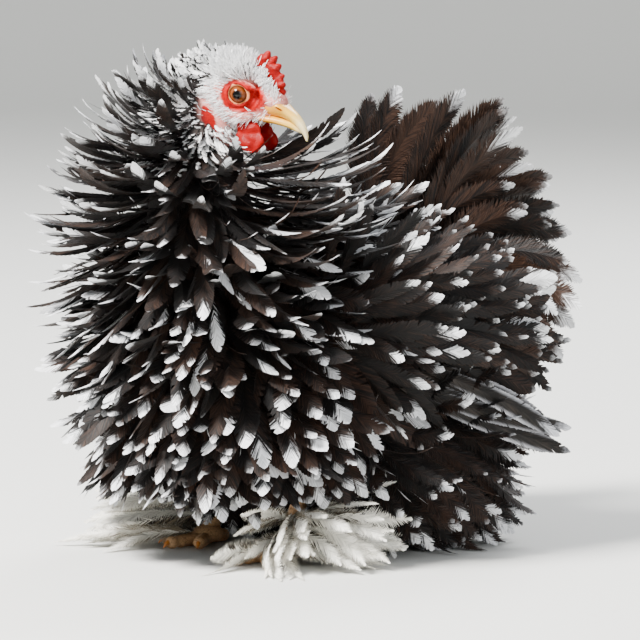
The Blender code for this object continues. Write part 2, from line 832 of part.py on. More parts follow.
def feather_tail(chance):
    """Two fans of broad curled vanes, one each side, from upright to level, with shorter coverts outside."""
    vanes = []
    # How many a side, size, form, degrees aside, and how far out and along the root sits
    tiers = [
        (TAIL_VANES, TAIL_VANE_SIZE, LONG_VANE, 22, 0.004, 0.013),
        (TAIL_COVERTS, TAIL_COVERT_SIZE, SHORT_VANE, 46, 0.009, 0.008),
    ]
    for count, size, stations, splay, spread, depth in tiers:
        for i in range(count):
            share = i / (count - 1)
            for sign in (1, -1):
                rise = math.radians(TAIL_RISE - TAIL_FAN * share)
                aside = math.radians(splay + chance.uniform(-5, 5))
                flat = Vector((math.sin(aside) * sign, math.cos(aside) * math.cos(rise), 0))
                lie = Vector((flat.x, flat.y, math.cos(aside) * math.sin(rise))).normalized()
                out = along_surface(Vector((sign, TAIL_FACING.y, TAIL_FACING.z)), lie)
                root = TAIL_ROOT + lie * depth + Vector((spread * sign, 0, 0))
                long = size[0] * chance.uniform(0.92, 1.05)
                vanes.append(grow_vane(
                    "tail", root, lie, out, (0, 30 + 14 * share), (long, size[1]), stations,
                    side_bend=0.45 * sign, twist=chance.uniform(-15, 15), sink=0.001,
                ))
    return [made for made in vanes if made]


def thigh_shape(sign):
    return ellipsoid(Vector((THIGH_CENTRE.x * sign, THIGH_CENTRE.y, THIGH_CENTRE.z)), THIGH_HALF)


def make_thigh(name, sign, *inner):
    thigh = add_object(name, ball_mesh(name, thigh_shape(sign), 12, 8), "black_plumage")
    cut_clear(thigh, *inner)
    return thigh


def feather_thigh(name, sign, chance):
    """Loose fluff feathers that hang from the thigh, back and down to the floor."""
    vanes = []
    for direction in even_directions(THIGH_VANES * 2):
        root, normal = surface_at(thigh_shape(sign), direction)
        lie = along_surface(Vector((FLUFF_FLOW.x * sign, FLUFF_FLOW.y, FLUFF_FLOW.z)), normal)
        size = (FLUFF_SIZE[0] * chance.uniform(0.85, 1.05), FLUFF_SIZE[1])
        made = grow_vane(
            name, root, lie, normal, FLUFF_SWEEP, size,
            side_bend=chance.uniform(-0.2, 0.2), twist=chance.uniform(-20, 20),
        )
        if made:
            vanes.append(made)
    return vanes


def make_foot(side, *above):
    """The scaled shank and its four toes with claws, standing on flat pads."""
    foot = FEET[side]
    sign = 1 if foot.x > 0 else -1
    hock = foot + Vector((HOCK.x * sign, HOCK.y, HOCK.z))
    path = [foot + Vector((0, 0, 0.0045)), foot.lerp(hock, 0.35), foot.lerp(hock, 0.7), hock]
    rings = tube_rings(path, SHANK_RADII, Vector((1, 0, 0)), 4, 8)
    made = add_object("foot_" + side, loft_mesh("foot_" + side, rings), "scaled_skin")
    pad = ball_mesh("pad", ellipsoid(foot + Vector((0, 0, PAD_HEIGHT)), PAD_HALF), 10, 6)
    pieces = [add_object("pad", level_floor(pad), "scaled_skin")]
    for turn, length in zip(TOE_TURNS, TOE_LENGTHS):
        angle = math.radians(turn * sign)
        out = Vector((math.sin(angle), -math.cos(angle), 0))
        across = Vector((0, 0, 1)).cross(out)
        toe = []
        for s, r in TOE_STATIONS:
            centre = foot + out * (length * s) + Vector((0, 0, TOE_RADIUS * r * TOE_HEIGHT))
            toe.append(ring(centre, out, across, TOE_RADIUS * r, TOE_RADIUS * r, 6))
        pieces.append(add_object("toe", level_floor(loft_mesh("toe", toe)), "scaled_skin"))
    join(made, pieces)
    cut_clear(made, *above)
    return made


def feather_foot(side, chance):
    """Long stiff feathers from the outer shank and the outer toes, which fan out flat over the floor."""
    foot = FEET[side]
    sign = 1 if foot.x > 0 else -1
    vanes = []
    for i in range(FOOT_VANES):
        share = i / (FOOT_VANES - 1)
        tier = i % 3
        turn = math.radians(FOOT_FAN_START + FOOT_FAN * share)
        lie = Vector((math.cos(turn) * sign, math.sin(turn), 0))
        height = 0.0045 + FOOT_TIER_HEIGHT * tier
        up = Vector((0, 0, 1))
        behind = 0.003 * tier - 0.012 * (1 - share) * (tier == 0)
        root = foot + Vector((0.0022 * sign, behind, height))
        size = (FOOT_VANE_SIZE[0] * (0.78 + 0.30 * math.sin(math.pi * share)), FOOT_VANE_SIZE[1])
        vanes.append(grow_vane(
            "foot_" + side, root, lie, up, (16 + 6 * tier, -18 - 6 * tier), size,
            side_bend=chance.uniform(-0.2, 0.2), twist=chance.uniform(-38, 38), sink=0.0,
        ))
    return [made for made in vanes if made]


def main():
    clear_scene()
    chance = random.Random(SEED)
    torso = make_torso()
    inner = list(torso.values())
    neck = make_neck(torso)
    axes, face = make_head(neck)
    wings = {
        name: make_wing(sign, name, neck, *inner)
        for sign, name in ((1, "wing_left"), (-1, "wing_right"))
    }
    tail = make_tail(*inner, *wings.values())
    thighs = {
        name: make_thigh(name, sign, *inner, *wings.values())
        for sign, name in ((1, "thigh_left"), (-1, "thigh_right"))
    }
    feet = {side: make_foot(side, *thighs.values(), *inner) for side in FEET}
    bpy.context.view_layer.update()
    for obj in [*inner, neck, *face, *wings.values(), tail, *thighs.values(), *feet.values()]:
        stand_in_way(obj)
    coats = [(tail, feather_tail(chance))]
    coats += [(wings[n], feather_wing(n, s, chance)) for s, n in ((1, "wing_left"), (-1, "wing_right"))]
    coats += [(feet[side], feather_foot(side, chance)) for side in FEET]
    coats.append((face[0], feather_head(axes, chance)))
    coats.append((neck, feather_neck(neck, chance)))
    for name, coat in (("breast", BREAST_COAT), ("back", BACK_COAT), ("abdomen", ABDOMEN_COAT)):
        coats.append((torso[name], feather_torso(name, coat, chance)))
    coats += [
        (thighs[n], feather_thigh(n, s, chance)) for s, n in ((1, "thigh_left"), (-1, "thigh_right"))
    ]
    bpy.context.view_layer.update()
    for node, vanes in coats:
        join(node, vanes)


main()
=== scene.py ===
"""A frizzle bantam hen in a plain studio, with a bare face and thousands of curled feathers.

The body faces -Y, its left side is +X, and the head is turned to its left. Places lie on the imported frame,
in metres, or in millimetres where mm() or feather() takes them. Every feather is a solid mesh of a shaft
and two rows of barbs, set out by Geometry Nodes.
"""

import json
import random
from math import copysign, cos, exp, hypot, pi, radians, sin, sqrt

import bmesh
import bpy
from mathutils import Matrix, Vector, noise
from mathutils.bvhtree import BVHTree

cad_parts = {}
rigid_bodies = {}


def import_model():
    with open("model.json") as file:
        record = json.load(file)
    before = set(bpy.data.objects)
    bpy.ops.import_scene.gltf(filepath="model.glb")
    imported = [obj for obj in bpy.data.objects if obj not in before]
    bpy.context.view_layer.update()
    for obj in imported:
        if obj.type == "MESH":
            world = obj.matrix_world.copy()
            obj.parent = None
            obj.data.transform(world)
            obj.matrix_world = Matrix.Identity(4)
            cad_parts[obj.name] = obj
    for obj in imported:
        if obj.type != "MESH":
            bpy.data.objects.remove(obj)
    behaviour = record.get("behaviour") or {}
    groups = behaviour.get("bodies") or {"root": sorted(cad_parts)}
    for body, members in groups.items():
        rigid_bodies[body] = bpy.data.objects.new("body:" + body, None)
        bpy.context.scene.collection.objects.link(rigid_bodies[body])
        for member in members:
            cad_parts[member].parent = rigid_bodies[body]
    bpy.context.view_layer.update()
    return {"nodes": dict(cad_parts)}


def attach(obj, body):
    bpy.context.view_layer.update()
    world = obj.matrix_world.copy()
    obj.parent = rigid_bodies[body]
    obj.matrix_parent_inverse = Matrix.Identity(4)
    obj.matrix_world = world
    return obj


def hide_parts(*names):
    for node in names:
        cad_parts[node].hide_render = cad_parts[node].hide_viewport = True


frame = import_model()

# Studio
# A seamless sweep of pale paper under three large soft lamps, seen from the bird's front left, a little
# from above, through a long lens as in a portrait of a show bird.
VIEW_WIDTH = 0.2944
CAMERA_DISTANCE = 2.6
CAMERA_AZIMUTH = radians(45)
CAMERA_ELEVATION = radians(6)
AIM_ACROSS = 0.0092
AIM_HEIGHT = 0.1035
PAPER_FLAT = 3
PAPER_BEND = 1.6
# Place, height of the aim, size, power and tint of each lamp
LAMPS = {
    "key": ((-0.2, -1.3, 1.6), 0.1, 0.7, 188, (1, 0.98, 0.95)),
    "fill": ((1.6, -0.5, 0.8), 0.1, 1.2, 11, (0.94, 0.97, 1)),
    "rim": ((-0.6, 1.3, 1.4), 0.12, 0.9, 44, (0.97, 0.98, 1)),
}


def linear(code):
    """A colour for a shader from its sRGB hex code."""
    parts = [int(code[i : i + 2], 16) / 255 for i in (1, 3, 5)]
    return [p / 12.92 if p <= 0.04045 else ((p + 0.055) / 1.055) ** 2.4 for p in parts] + [1]


def mm(x, y, z):
    """A place or a size given in millimetres."""
    return Vector((x / 1000, y / 1000, z / 1000))


def add_node(tree, kind, sockets=None, **settings):
    """Adds a node. A socket is linked where it's given another node's output, and is set otherwise."""
    node = tree.nodes.new(kind)
    for key, value in settings.items():
        setattr(node, key, value)
    for key, value in (sockets or {}).items():
        if isinstance(value, bpy.types.NodeSocket):
            tree.links.new(value, node.inputs[key])
        else:
            node.inputs[key].default_value = value
    return node


class Paint:
    """A material in the making: a node tree that ends in one shader with the given finish."""

    def __init__(self, name, finish):
        self.material = bpy.data.materials.new(name)
        self.material.use_nodes = True
        self.tree = self.material.node_tree
        self.tree.nodes.clear()
        self.shader = add_node(self.tree, "ShaderNodeBsdfPrincipled", finish)
        add_node(self.tree, "ShaderNodeOutputMaterial", {"Surface": self.shader.outputs["BSDF"]})
        self.place = add_node(self.tree, "ShaderNodeTexCoord").outputs["Object"]

    def attribute(self, name):
        return add_node(self.tree, "ShaderNodeAttribute", attribute_name=name).outputs["Fac"]

    def noise(self, scale, detail=2, roughness=0.5, place=None):
        sockets = {"Vector": place or self.place, "Scale": scale, "Detail": detail, "Roughness": roughness}
        return add_node(self.tree, "ShaderNodeTexNoise", sockets).outputs["Fac"]

    def cells(self, scale, feature="F1"):
        sockets = {"Vector": self.place, "Scale": scale}
        return add_node(self.tree, "ShaderNodeTexVoronoi", sockets, feature=feature).outputs["Distance"]

    def calc(self, operation, *terms):
        node = add_node(self.tree, "ShaderNodeMath", dict(enumerate(terms)), operation=operation)
        return node.outputs["Value"]

    def stretch(self, value, low, high, top=1, kind="SMOOTHSTEP"):
        """The value's place between low and high, from 0 to top."""
        sockets = {"Value": value, "From Min": low, "From Max": high, "To Max": top}
        return add_node(self.tree, "ShaderNodeMapRange", sockets, interpolation_type=kind).outputs["Result"]

    def mix(self, share, first, second):
        """The colour a share of the way from the first to the second. Each is a hex code or an output."""
        first, second = (linear(colour) if isinstance(colour, str) else colour for colour in (first, second))
        sockets = {"Factor": share, "A": first, "B": second}
        return add_node(self.tree, "ShaderNodeMix", sockets, data_type="RGBA").outputs["Result"]

    def ramp(self, share, stops):
        """The colour at a share of a row of (share, hex code) stops."""
        node = add_node(self.tree, "ShaderNodeValToRGB", {"Fac": share})
        elements = node.color_ramp.elements
        for at, code in stops[1:-1]:
            elements.new(at).color = linear(code)
        elements[0].color = linear(stops[0][1])
        elements[-1].color = linear(stops[-1][1])
        return node.outputs["Color"]

    def finish(self, colour, height=None, strength=0.5, distance=0.0002):
        """Gives the shader its colour and bump, and returns the material."""
        self.tree.links.new(colour, self.shader.inputs["Base Color"])
        if height:
            sockets = {"Height": height, "Strength": strength, "Distance": distance}
            bump = add_node(self.tree, "ShaderNodeBump", sockets)
            self.tree.links.new(bump.outputs["Normal"], self.shader.inputs["Normal"])
        return self.material


def new_object(name, data):
    obj = bpy.data.objects.new(name, data)
    bpy.context.scene.collection.objects.link(obj)
    return obj


def object_from(bm, name):
    """A new object of what bm holds, with its faces outwards."""
    bmesh.ops.recalc_face_normals(bm, faces=bm.faces)
    mesh = bpy.data.meshes.new(name)
    bm.to_mesh(mesh)
    bm.free()
    return new_object(name, mesh)


def circle(count):
    """The cosine and sine of count angles spread evenly all round."""
    return [(cos(2 * pi * k / count), sin(2 * pi * k / count)) for k in range(count)]


def loft(bm, loops, caps=(0, -1), joined=False):
    """Adds the faces between loops of points, those that close the loops in caps, and a join of both ends."""
    rings = [[bm.verts.new(point) for point in loop] for loop in loops]
    pairs = list(zip(rings, rings[1:])) + ([(rings[-1], rings[0])] if joined else [])
    for lower, upper in pairs:
        for k in range(len(lower)):
            bm.faces.new((lower[k - 1], lower[k], upper[k], upper[k - 1]))
    for end in caps:
        bm.faces.new(rings[end])


def place_camera():
    a, e = CAMERA_AZIMUTH, CAMERA_ELEVATION
    back = Vector((sin(a) * cos(e), -cos(a) * cos(e), sin(e)))
    right = Vector((cos(a), sin(a), 0))
    data = bpy.data.cameras.new("camera")
    data.sensor_width = 36
    data.lens = data.sensor_width * CAMERA_DISTANCE / VIEW_WIDTH
    data.clip_start = 0.05
    camera = new_object("camera", data)
    aim = right * AIM_ACROSS + Vector((0, 0, AIM_HEIGHT))
    turn = Matrix((right, back.cross(right), back)).transposed().to_4x4()
    camera.matrix_world = Matrix.Translation(aim + back * CAMERA_DISTANCE) @ turn
    bpy.context.scene.camera = camera


def place_lamp(name, place, aim, size, power, tint):
    data = bpy.data.lights.new(name, "AREA")
    data.shape = "DISK"
    data.size = size
    data.energy = power
    data.color = tint
    lamp = new_object(name, data)
    lamp.location = place
    lamp.rotation_euler = (Vector((0, 0, aim)) - lamp.location).to_track_quat("-Z", "Y").to_euler()


def make_floor():
    """A round floor that curves up into a low wall all round, so that no horizon shows."""
    bends = [radians(7.5 * step) for step in range(1, 13)]
    profile = [(0.6, 0), (PAPER_FLAT, 0)]
    profile += [(PAPER_FLAT + PAPER_BEND * sin(a), PAPER_BEND * (1 - cos(a))) for a in bends]
    bm = bmesh.new()
    loft(bm, [[(reach * c, reach * s, height) for c, s in circle(72)] for reach, height in profile], (0,))
    floor = object_from(bm, "floor")
    floor.data.shade_smooth()
    paper = Paint("pale_paper", {"Base Color": linear("#dcdcd8"), "Roughness": 0.9})
    floor.data.materials.append(paper.material)
    floor.location.z = -0.0002


place_camera()
make_floor()
for name, lamp in LAMPS.items():
    place_lamp(name, *lamp)
world = bpy.data.worlds.new("studio")
world.use_nodes = True
world.node_tree.nodes["Background"].inputs["Color"].default_value = linear("#e9edf2")
world.node_tree.nodes["Background"].inputs["Strength"].default_value = 0.7
bpy.context.scene.world = world

# Skin
# The bird's bare hide, from balls and tubes for body, neck, thighs, wings and head that are melted into one
# surface. It is dark under the feathers, and on the red face it swells into brows, cheeks and ear lobes.
TORSO_CENTRE = mm(0, -20, 90)
TORSO_HALF = mm(47, 62, 45)
TORSO_RISE = 0.012
TORSO_TAPER = 0.08
TORSO_SQUARENESS = 2.8
NECK_PATH = [mm(0, -56, 112), mm(-1, -60, 138), mm(-3, -61, 164), mm(-6, -58, 188), mm(-6, -54, 208)]
NECK_RADII = [0.028, 0.027, 0.023, 0.018, 0.012]
THIGH_CENTRE = mm(42, 20, 48)
THIGH_HALF = mm(19, 38, 25)
WING_CENTRE = mm(55, 4, 102)
WING_HALF = mm(13, 44, 28)
WING_TILT = radians(-14)
WING_SPREAD = radians(10)
RUMP_CENTRE = mm(0, 50, 114)
RUMP_HALF = mm(16, 20, 17)
BODY_VOXEL = 0.0022
HEAD_VOXEL = 0.00042
HEAD_CENTRE = mm(6, -49.4, 211)
HEAD_YAW = radians(17)
HEAD_PITCH = radians(17)
HEAD_TURN = Matrix.Rotation(HEAD_YAW, 4, "Z") @ Matrix.Rotation(HEAD_PITCH, 4, "Y")
HEAD_FRAME = Matrix.Translation(HEAD_CENTRE) @ HEAD_TURN
FACE_WAY = HEAD_FRAME.to_3x3() @ Vector((1, 0, 0))
FACE_MIDDLE = mm(8, 0, -2)
FACE_RADIUS = 0.0235
SKULL_HALF = mm(20, 11.8, 14)
# Centre, half sizes and lean in radians of the ovals of the face, the throat and the brow
HEAD_OVALS = [
    (mm(15, 0, -1), mm(8.8, 7, 7.2), 0),
    (mm(-6, 0, -10.5), mm(12, 9, 9), 0),
    (mm(20.5, 0, 4.2), mm(8.6, 6.6, 5), 0.3),
]
BROW_PLACE = mm(8.5, 7.8, 6.8)
BROW_HALF = mm(7.2, 2.6, 2)
CHEEK_PLACE = mm(8, 6.6, -5.8)
CHEEK_HALF = mm(9, 3.8, 4.4)
EYE_PLACE = mm(7.7, 7.6, 2.3)
EYE_AXIS = Vector((0.3, 1, 0.05))
LOBE_PLACE = mm(-0.4, 9.8, -12.4)
LOBE_HALF = mm(2.4, 1.9, 6.6)
LOBE_SLANT = radians(-45)
PUCKER_REACH = 0.0125
LID_RIM = 0.0052
SOCKET_RADIUS = 0.0044
SOCKET_DEPTH = 0.003


def clamp(value):
    return max(0, min(1, value))


def mirrored(place, sign):
    """A place on the body's left, or the same on its right where sign is -1."""
    return Vector((place.x * sign, place.y, place.z))


def on_side(place, side):
    """A place on the head's left, in its own axes, or the same on its right where side is -1."""
    return Vector((place.x, place.y * side, place.z))


def side_of(place):
    return 1 if place.y > 0 else -1


def spline(items, t):
    """The point or value at t, from 0 to 1, on a smooth curve through all the items."""
    spans = len(items) - 1
    span = min(int(t * spans), spans - 1)
    local = t * spans - span
    a, b, c, d = (items[max(0, min(spans, span + k))] for k in (-1, 0, 1, 2))
    bend = (2 * a - 5 * b + 4 * c - d) * local**2
    return 0.5 * (2 * b + (c - a) * local + bend + (3 * b - a - 3 * c + d) * local**3)


def way_at(path, t, step=0.02):
    """The direction in which a smooth curve runs at t."""
    return (spline(path, min(1, t + step)) - spline(path, max(0, t - step))).normalized()


def torso_shape(d):
    """A point of the body for a unit direction: an egg, deeper in front, with rather square shoulders."""
    n = TORSO_SQUARENESS
    d = d / (hypot(d.x, d.y) ** n + abs(d.z) ** n) ** (1 / n)
    wide = TORSO_HALF.x * d.x * (1 - TORSO_TAPER * d.y)
    return TORSO_CENTRE + Vector((wide, TORSO_HALF.y * d.y, TORSO_HALF.z * d.z + TORSO_RISE * d.y))


def skull_shape(d):
    """A rounded cranium in the head's own axes, +X to the beak, that narrows in front."""
    forward = max(0, d.x)
    width = SKULL_HALF.y * (1 - 0.42 * forward**3)
    height = SKULL_HALF.z * (1 - 0.3 * forward**3)
    return Vector((SKULL_HALF.x * d.x, width * d.y, height * d.z - 0.0015 * forward))


def oval(centre, half, turn=Matrix.Identity(3)):
    """The function that gives a point of an oval for a unit direction."""
    centre, half = Vector(centre), Vector(half)
    return lambda d: centre + turn @ (half * d)


def thigh_shape(sign):
    return oval(mirrored(THIGH_CENTRE, sign), THIGH_HALF)


def wing_shape(sign, share=1):
    """The oval of a folded wing, or of a share of its size."""
    turn = Matrix.Rotation(-WING_SPREAD * sign, 3, "Z") @ Matrix.Rotation(WING_TILT, 3, "X")
    return oval(mirrored(WING_CENTRE, sign), WING_HALF * share, turn)


def blob(bm, shape, segments=40, rings=26):
    """Adds a closed ball to bm whose points are moved by shape, a function of the unit direction."""
    for vert in bmesh.ops.create_uvsphere(bm, u_segments=segments, v_segments=rings, radius=1)["verts"]:
        vert.co = shape(vert.co.normalized())


def tube(bm, path, radii, steps=24, count=28):
    """Adds a closed round tube along a smooth path."""
    loops = []
    for t in (i / steps for i in range(steps + 1)):
        along, centre, radius = way_at(path, t), spline(path, t), spline(radii, t)
        side = along.orthogonal().normalized()
        up = along.cross(side)
        loops.append([centre + (side * c + up * s) * radius for c, s in circle(count)])
    loft(bm, loops)


def apply_modifiers(obj):
    """Makes the evaluated mesh the object's own, and drops the modifiers and the old mesh."""
    graph = bpy.context.evaluated_depsgraph_get()
    old, mesh = obj.data, bpy.data.meshes.new_from_object(obj.evaluated_get(graph))
    obj.modifiers.clear()
    obj.data = mesh
    bpy.data.meshes.remove(old)
    mesh.name = obj.name


def combine(obj, other, operation, solver):
    """Joins another object to obj or cuts it out, and removes the other."""
    modifier = obj.modifiers.new("Combine", "BOOLEAN")
    modifier.operation = operation
    modifier.object = other
    modifier.solver = solver
    apply_modifiers(obj)
    bpy.data.objects.remove(other, do_unlink=True)


def remeshed(bm, name, voxel, smoothing):
    """One closed surface round everything in bm, as an object."""
    obj = object_from(bm, name)
    modifier = obj.modifiers.new("Remesh", "REMESH")
    modifier.mode = "VOXEL"
    modifier.voxel_size = voxel
    obj.modifiers.new("Smooth", "SMOOTH").iterations = smoothing
    apply_modifiers(obj)
    return obj


def store(mesh, key, values, kind="FLOAT", domain="POINT"):
    """Keeps the values on the mesh as an attribute."""
    field = "vector" if kind == "FLOAT_VECTOR" else "value"
    mesh.attributes.new(key, kind, domain).data.foreach_set(field, values)


def finish_piece(obj, material, *nodes, slot, place=Matrix()):
    """Gives a finished piece its place, its material and its body, and hides the solids it stands for."""
    obj.data.transform(place)
    obj.data.materials.clear()
    obj.data.materials.append(material)
    obj.data.shade_smooth()
    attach(obj, "root")
    if nodes:
        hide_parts(*nodes)


def shape_face(vert):
    """Sinks a socket round the eyeball, raises the lid's rim and puckers the skin round it."""
    place = vert.co.copy()
    side = side_of(place)
    axis = on_side(EYE_AXIS, side).normalized()
    away = place - on_side(EYE_PLACE, side)
    deep = away.dot(axis)
    radius = (away - axis * deep).length
    if deep > 0 and radius < PUCKER_REACH:
        rim = exp(-(((radius - LID_RIM) / 0.0011) ** 2))
        ripple = sin(radius / PUCKER_REACH * 34) * exp(-((radius - 0.008) / 0.0026) ** 2)
        if radius < SOCKET_RADIUS:
            vert.co -= axis * min(deep, SOCKET_DEPTH)
        vert.co += axis * (0.0009 * rim + 0.00022 * ripple)
    grain = noise.noise(place * 900) * 0.0001 + noise.noise(place * 420) * 0.00022
    vert.co += place.normalized() * grain


def head_shell():
    """The head in its own axes: skull, brow, cheeks, throat and ear lobes, melted into one surface."""
    bm = bmesh.new()
    blob(bm, skull_shape)
    for centre, half, lean in HEAD_OVALS:
        blob(bm, oval(centre, half, Matrix.Rotation(lean, 3, "Y")))
    for side in (1, -1):
        blob(bm, oval(on_side(LOBE_PLACE, side), LOBE_HALF, Matrix.Rotation(LOBE_SLANT, 3, "Y")), 28, 18)
        blob(bm, oval(on_side(BROW_PLACE, side), BROW_HALF), 20, 14)
        blob(bm, oval(on_side(CHEEK_PLACE, side), CHEEK_HALF), 20, 14)
    shell = remeshed(bm, "head_shell", HEAD_VOXEL, 3)
    for vert in shell.data.vertices:
        shape_face(vert)
    shell.data.transform(HEAD_FRAME)
    return shell


def redness_at(local):
    """How much bare red skin shows at a place on the head, from 0 to 1."""
    side = side_of(local)
    away = local - on_side(EYE_PLACE, side)
    across = away.x / (0.014 if away.x > 0 else 0.0074)
    upward = away.z / (0.0066 if away.z > 0 else 0.0082)
    round_eye = clamp((1.25 - Vector((across, upward)).length) / 0.6)
    lobe = Matrix.Rotation(-LOBE_SLANT, 3, "Y") @ (local - on_side(LOBE_PLACE, side))
    reach = Vector((lobe.x / (LOBE_HALF.x * 0.8), lobe.z / LOBE_HALF.z)).length
    on_lobe = clamp((1.3 - reach) / 0.4) if abs(local.y) > 0.0075 else 0
    chin = clamp((local.x - 0.008) / 0.006) * clamp((-0.0075 - local.z) / 0.004)
    forehead = clamp((local.x - 0.006) / 0.006) * clamp((0.005 - abs(local.y)) / 0.003)
    forehead *= clamp(local.z / 0.006)
    # The lobes count at 0.85, so pale pink mixes into their red: partly their own pinker red, partly painted
    # light on lobes that lie in shade.
    return max(round_eye, 0.85 * on_lobe, 0.8 * chin, 0.4 * forehead)


def body_shell():
    bm = bmesh.new()
    blob(bm, torso_shape, 48, 30)
    tube(bm, NECK_PATH, NECK_RADII)
    for sign in (1, -1):
        blob(bm, thigh_shape(sign))
        blob(bm, wing_shape(sign, 0.85))
    blob(bm, oval(RUMP_CENTRE, RUMP_HALF))
    return remeshed(bm, "skin", BODY_VOXEL, 6)


def skin_material():
    """Poultry skin: translucent, fine pebbled grain. Thick red blood colour shows on face and lobes."""
    paint = Paint("bare_skin", {
        "Roughness": 0.5, "Specular IOR Level": 0.2, "IOR": 1.4,
        "Subsurface Weight": 0.06, "Subsurface Radius": (0.0012, 0.0004, 0.0003),
    })
    mottle = paint.noise(420, 4, 0.65)
    bloody = paint.stretch(paint.calc("MULTIPLY_ADD", mottle, 0.5, paint.attribute("redness")), 0.45, 0.95)
    face = paint.mix(bloody, paint.mix(mottle, "#f0bdb2", "#dc7c74"), paint.mix(mottle, "#b40301", "#780102"))
    colour = paint.mix(paint.attribute("bareness"), "#171110", face)
    return paint.finish(colour, paint.cells(1400), 0.5, 0.0003)


def make_skin():
    skin = body_shell()
    combine(skin, head_shell(), "UNION", "MANIFOLD")
    back = HEAD_FRAME.inverted()
    places = [back @ vert.co for vert in skin.data.vertices]
    store(skin.data, "redness", [redness_at(place) for place in places])
    bareness = [clamp((FACE_RADIUS - (place - FACE_MIDDLE).length) / 0.004) for place in places]
    store(skin.data, "bareness", bareness)
    solids = ("breast", "back", "abdomen", "neck", "head", "thigh_left", "thigh_right")
    finish_piece(skin, skin_material(), *solids, slot="face_skin")
    return skin


skin = make_skin()

# Eyes
# Wet, glassy balls with a brown iris that darkens to its rim and a round black pupil. Each sits in its
# socket behind a fleshy orange ring of lid.
EYE_RADIUS = 0.0047
IRIS_RADIUS = 0.0039
CORNEA_BULGE = 0.0004
LID_RADIUS = 0.0046
LID_OUT = 0.0009
LID_WIDTH = 0.00075
LID_HEIGHT = 0.0006


def eye_material():
    """A bird's eye: amber-brown iris fibres under a clear, wet cornea."""
    paint = Paint("eye_iris", {
        "Roughness": 0.12, "Specular IOR Level": 0.25, "IOR": 1.38,
        "Coat Weight": 0.3, "Coat Roughness": 0.02,
    })
    ring = paint.calc("MULTIPLY_ADD", paint.noise(1500, 3), 0.0004, paint.attribute("ring"))
    stops = [(0, "#020101"), (0.37, "#030201"), (0.42, "#30150a"), (0.58, "#7d3f16"), (0.74, "#642c0d")]
    stops += [(0.84, "#2c1207"), (1, "#120805")]
    return paint.finish(paint.ramp(paint.stretch(ring, 0, 0.005, kind="LINEAR"), stops))


def lid_material():
    """Lid margin: thin, smooth, orange-pink skin kept moist by the eye."""
    paint = Paint("lid_skin", {
        "Roughness": 0.38, "Subsurface Weight": 0.1, "Subsurface Radius": (0.001, 0.0004, 0.0002),
    })
    return paint.finish(paint.mix(paint.noise(900), "#eda870", "#d0622c"))


def make_eye(side, name):
    axis = on_side(EYE_AXIS, side).normalized()
    place = on_side(EYE_PLACE, side)
    bm = bmesh.new()
    blob(bm, oval(place, (EYE_RADIUS,) * 3), 48, 32)
    eye = object_from(bm, name.replace("eye", "eyeball"))
    rings = []
    for vert in eye.data.vertices:
        deep = (vert.co - place).dot(axis)
        rings.append((vert.co - place - axis * deep).length + (0.005 if deep < 0 else 0))
        vert.co += axis * (CORNEA_BULGE * max(0, 1 - (rings[-1] / IRIS_RADIUS) ** 2))
    store(eye.data, "ring", rings)
    finish_piece(eye, iris, name, slot="eye", place=HEAD_FRAME)


def make_lid(side, name):
    """A ring round the eyeball, a little drawn out lengthwise."""
    axis = on_side(EYE_AXIS, side).normalized()
    loops = []
    for c, s in circle(40):
        centre = Vector((c * LID_RADIUS * 1.04, s * LID_RADIUS * (1 - 0.1 * abs(s)), 2 * LID_HEIGHT))
        out, up = Vector((c, s, 0)) * LID_WIDTH, Vector((0, 0, LID_HEIGHT))
        loops.append([centre + out * a + up * b for a, b in circle(12)])
    bm = bmesh.new()
    loft(bm, loops, caps=(), joined=True)
    turn = Vector((0, 0, 1)).rotation_difference(axis).to_matrix().to_4x4()
    place = Matrix.Translation(on_side(EYE_PLACE, side) + axis * LID_OUT) @ turn
    finish_piece(object_from(bm, name), lid_skin, slot="face_skin", place=HEAD_FRAME @ place)


iris = eye_material()
lid_skin = lid_material()
for side, name in ((1, "left"), (-1, "right")):
    make_eye(side, "eye_" + name)
    make_lid(side, "lid_" + name)

# Beak
# Yellow horn in two lofted halves that meet along the line of the mouth. The upper one hooks down over the
# lower, and a soft flap half covers each nostril, which is cut into it.
# In millimetres, place along the head and height of each cross-section, its half width and half height
UPPER_BEAK = [
    (12, 0, 5, 4.8), (18, 0.4, 5.2, 4.8), (24, 1, 5.1, 4.2), (29, 0.8, 4.6, 3.3), (34, -0.5, 3.5, 2.7),
    (38.5, -3, 2.3, 2.1), (41.5, -5.8, 1.2, 1.4), (43, -8.8, 0.3, 0.4),
]
LOWER_BEAK = [
    (11, -6.2, 5.8, 2.4), (20, -5.5, 5, 2.4), (27, -4.6, 4.1, 2.3), (33, -4.4, 3.1, 2.1),
    (37.4, -5.3, 1.7, 1.4), (39.2, -6, 0.5, 0.5),
]
BEAK_STEPS = 40
NOSTRIL_PLACE = mm(27.2, 4.8, 2.8)
NOSTRIL_HALF = mm(1.7, 1.6, 0.45)


def horn_material():
    """Keratin: smooth, waxy yellow horn with faint growth lines, orange at the base and pale at the tip."""
    paint = Paint("yellow_horn", {
        "Roughness": 0.32, "IOR": 1.54,
        "Subsurface Weight": 0.15, "Subsurface Radius": (0.001, 0.0006, 0.0003),
    })
    streak = paint.noise(300, 3)
    stops = [(0, "#c8743a"), (0.25, "#d4861c"), (0.55, "#dd9e22"), (0.85, "#e8bd52"), (1, "#f2dca4")]
    reach = paint.calc("MULTIPLY_ADD", streak, 0.22, paint.attribute("reach"))
    return paint.finish(paint.ramp(reach, stops), streak, 0.25)


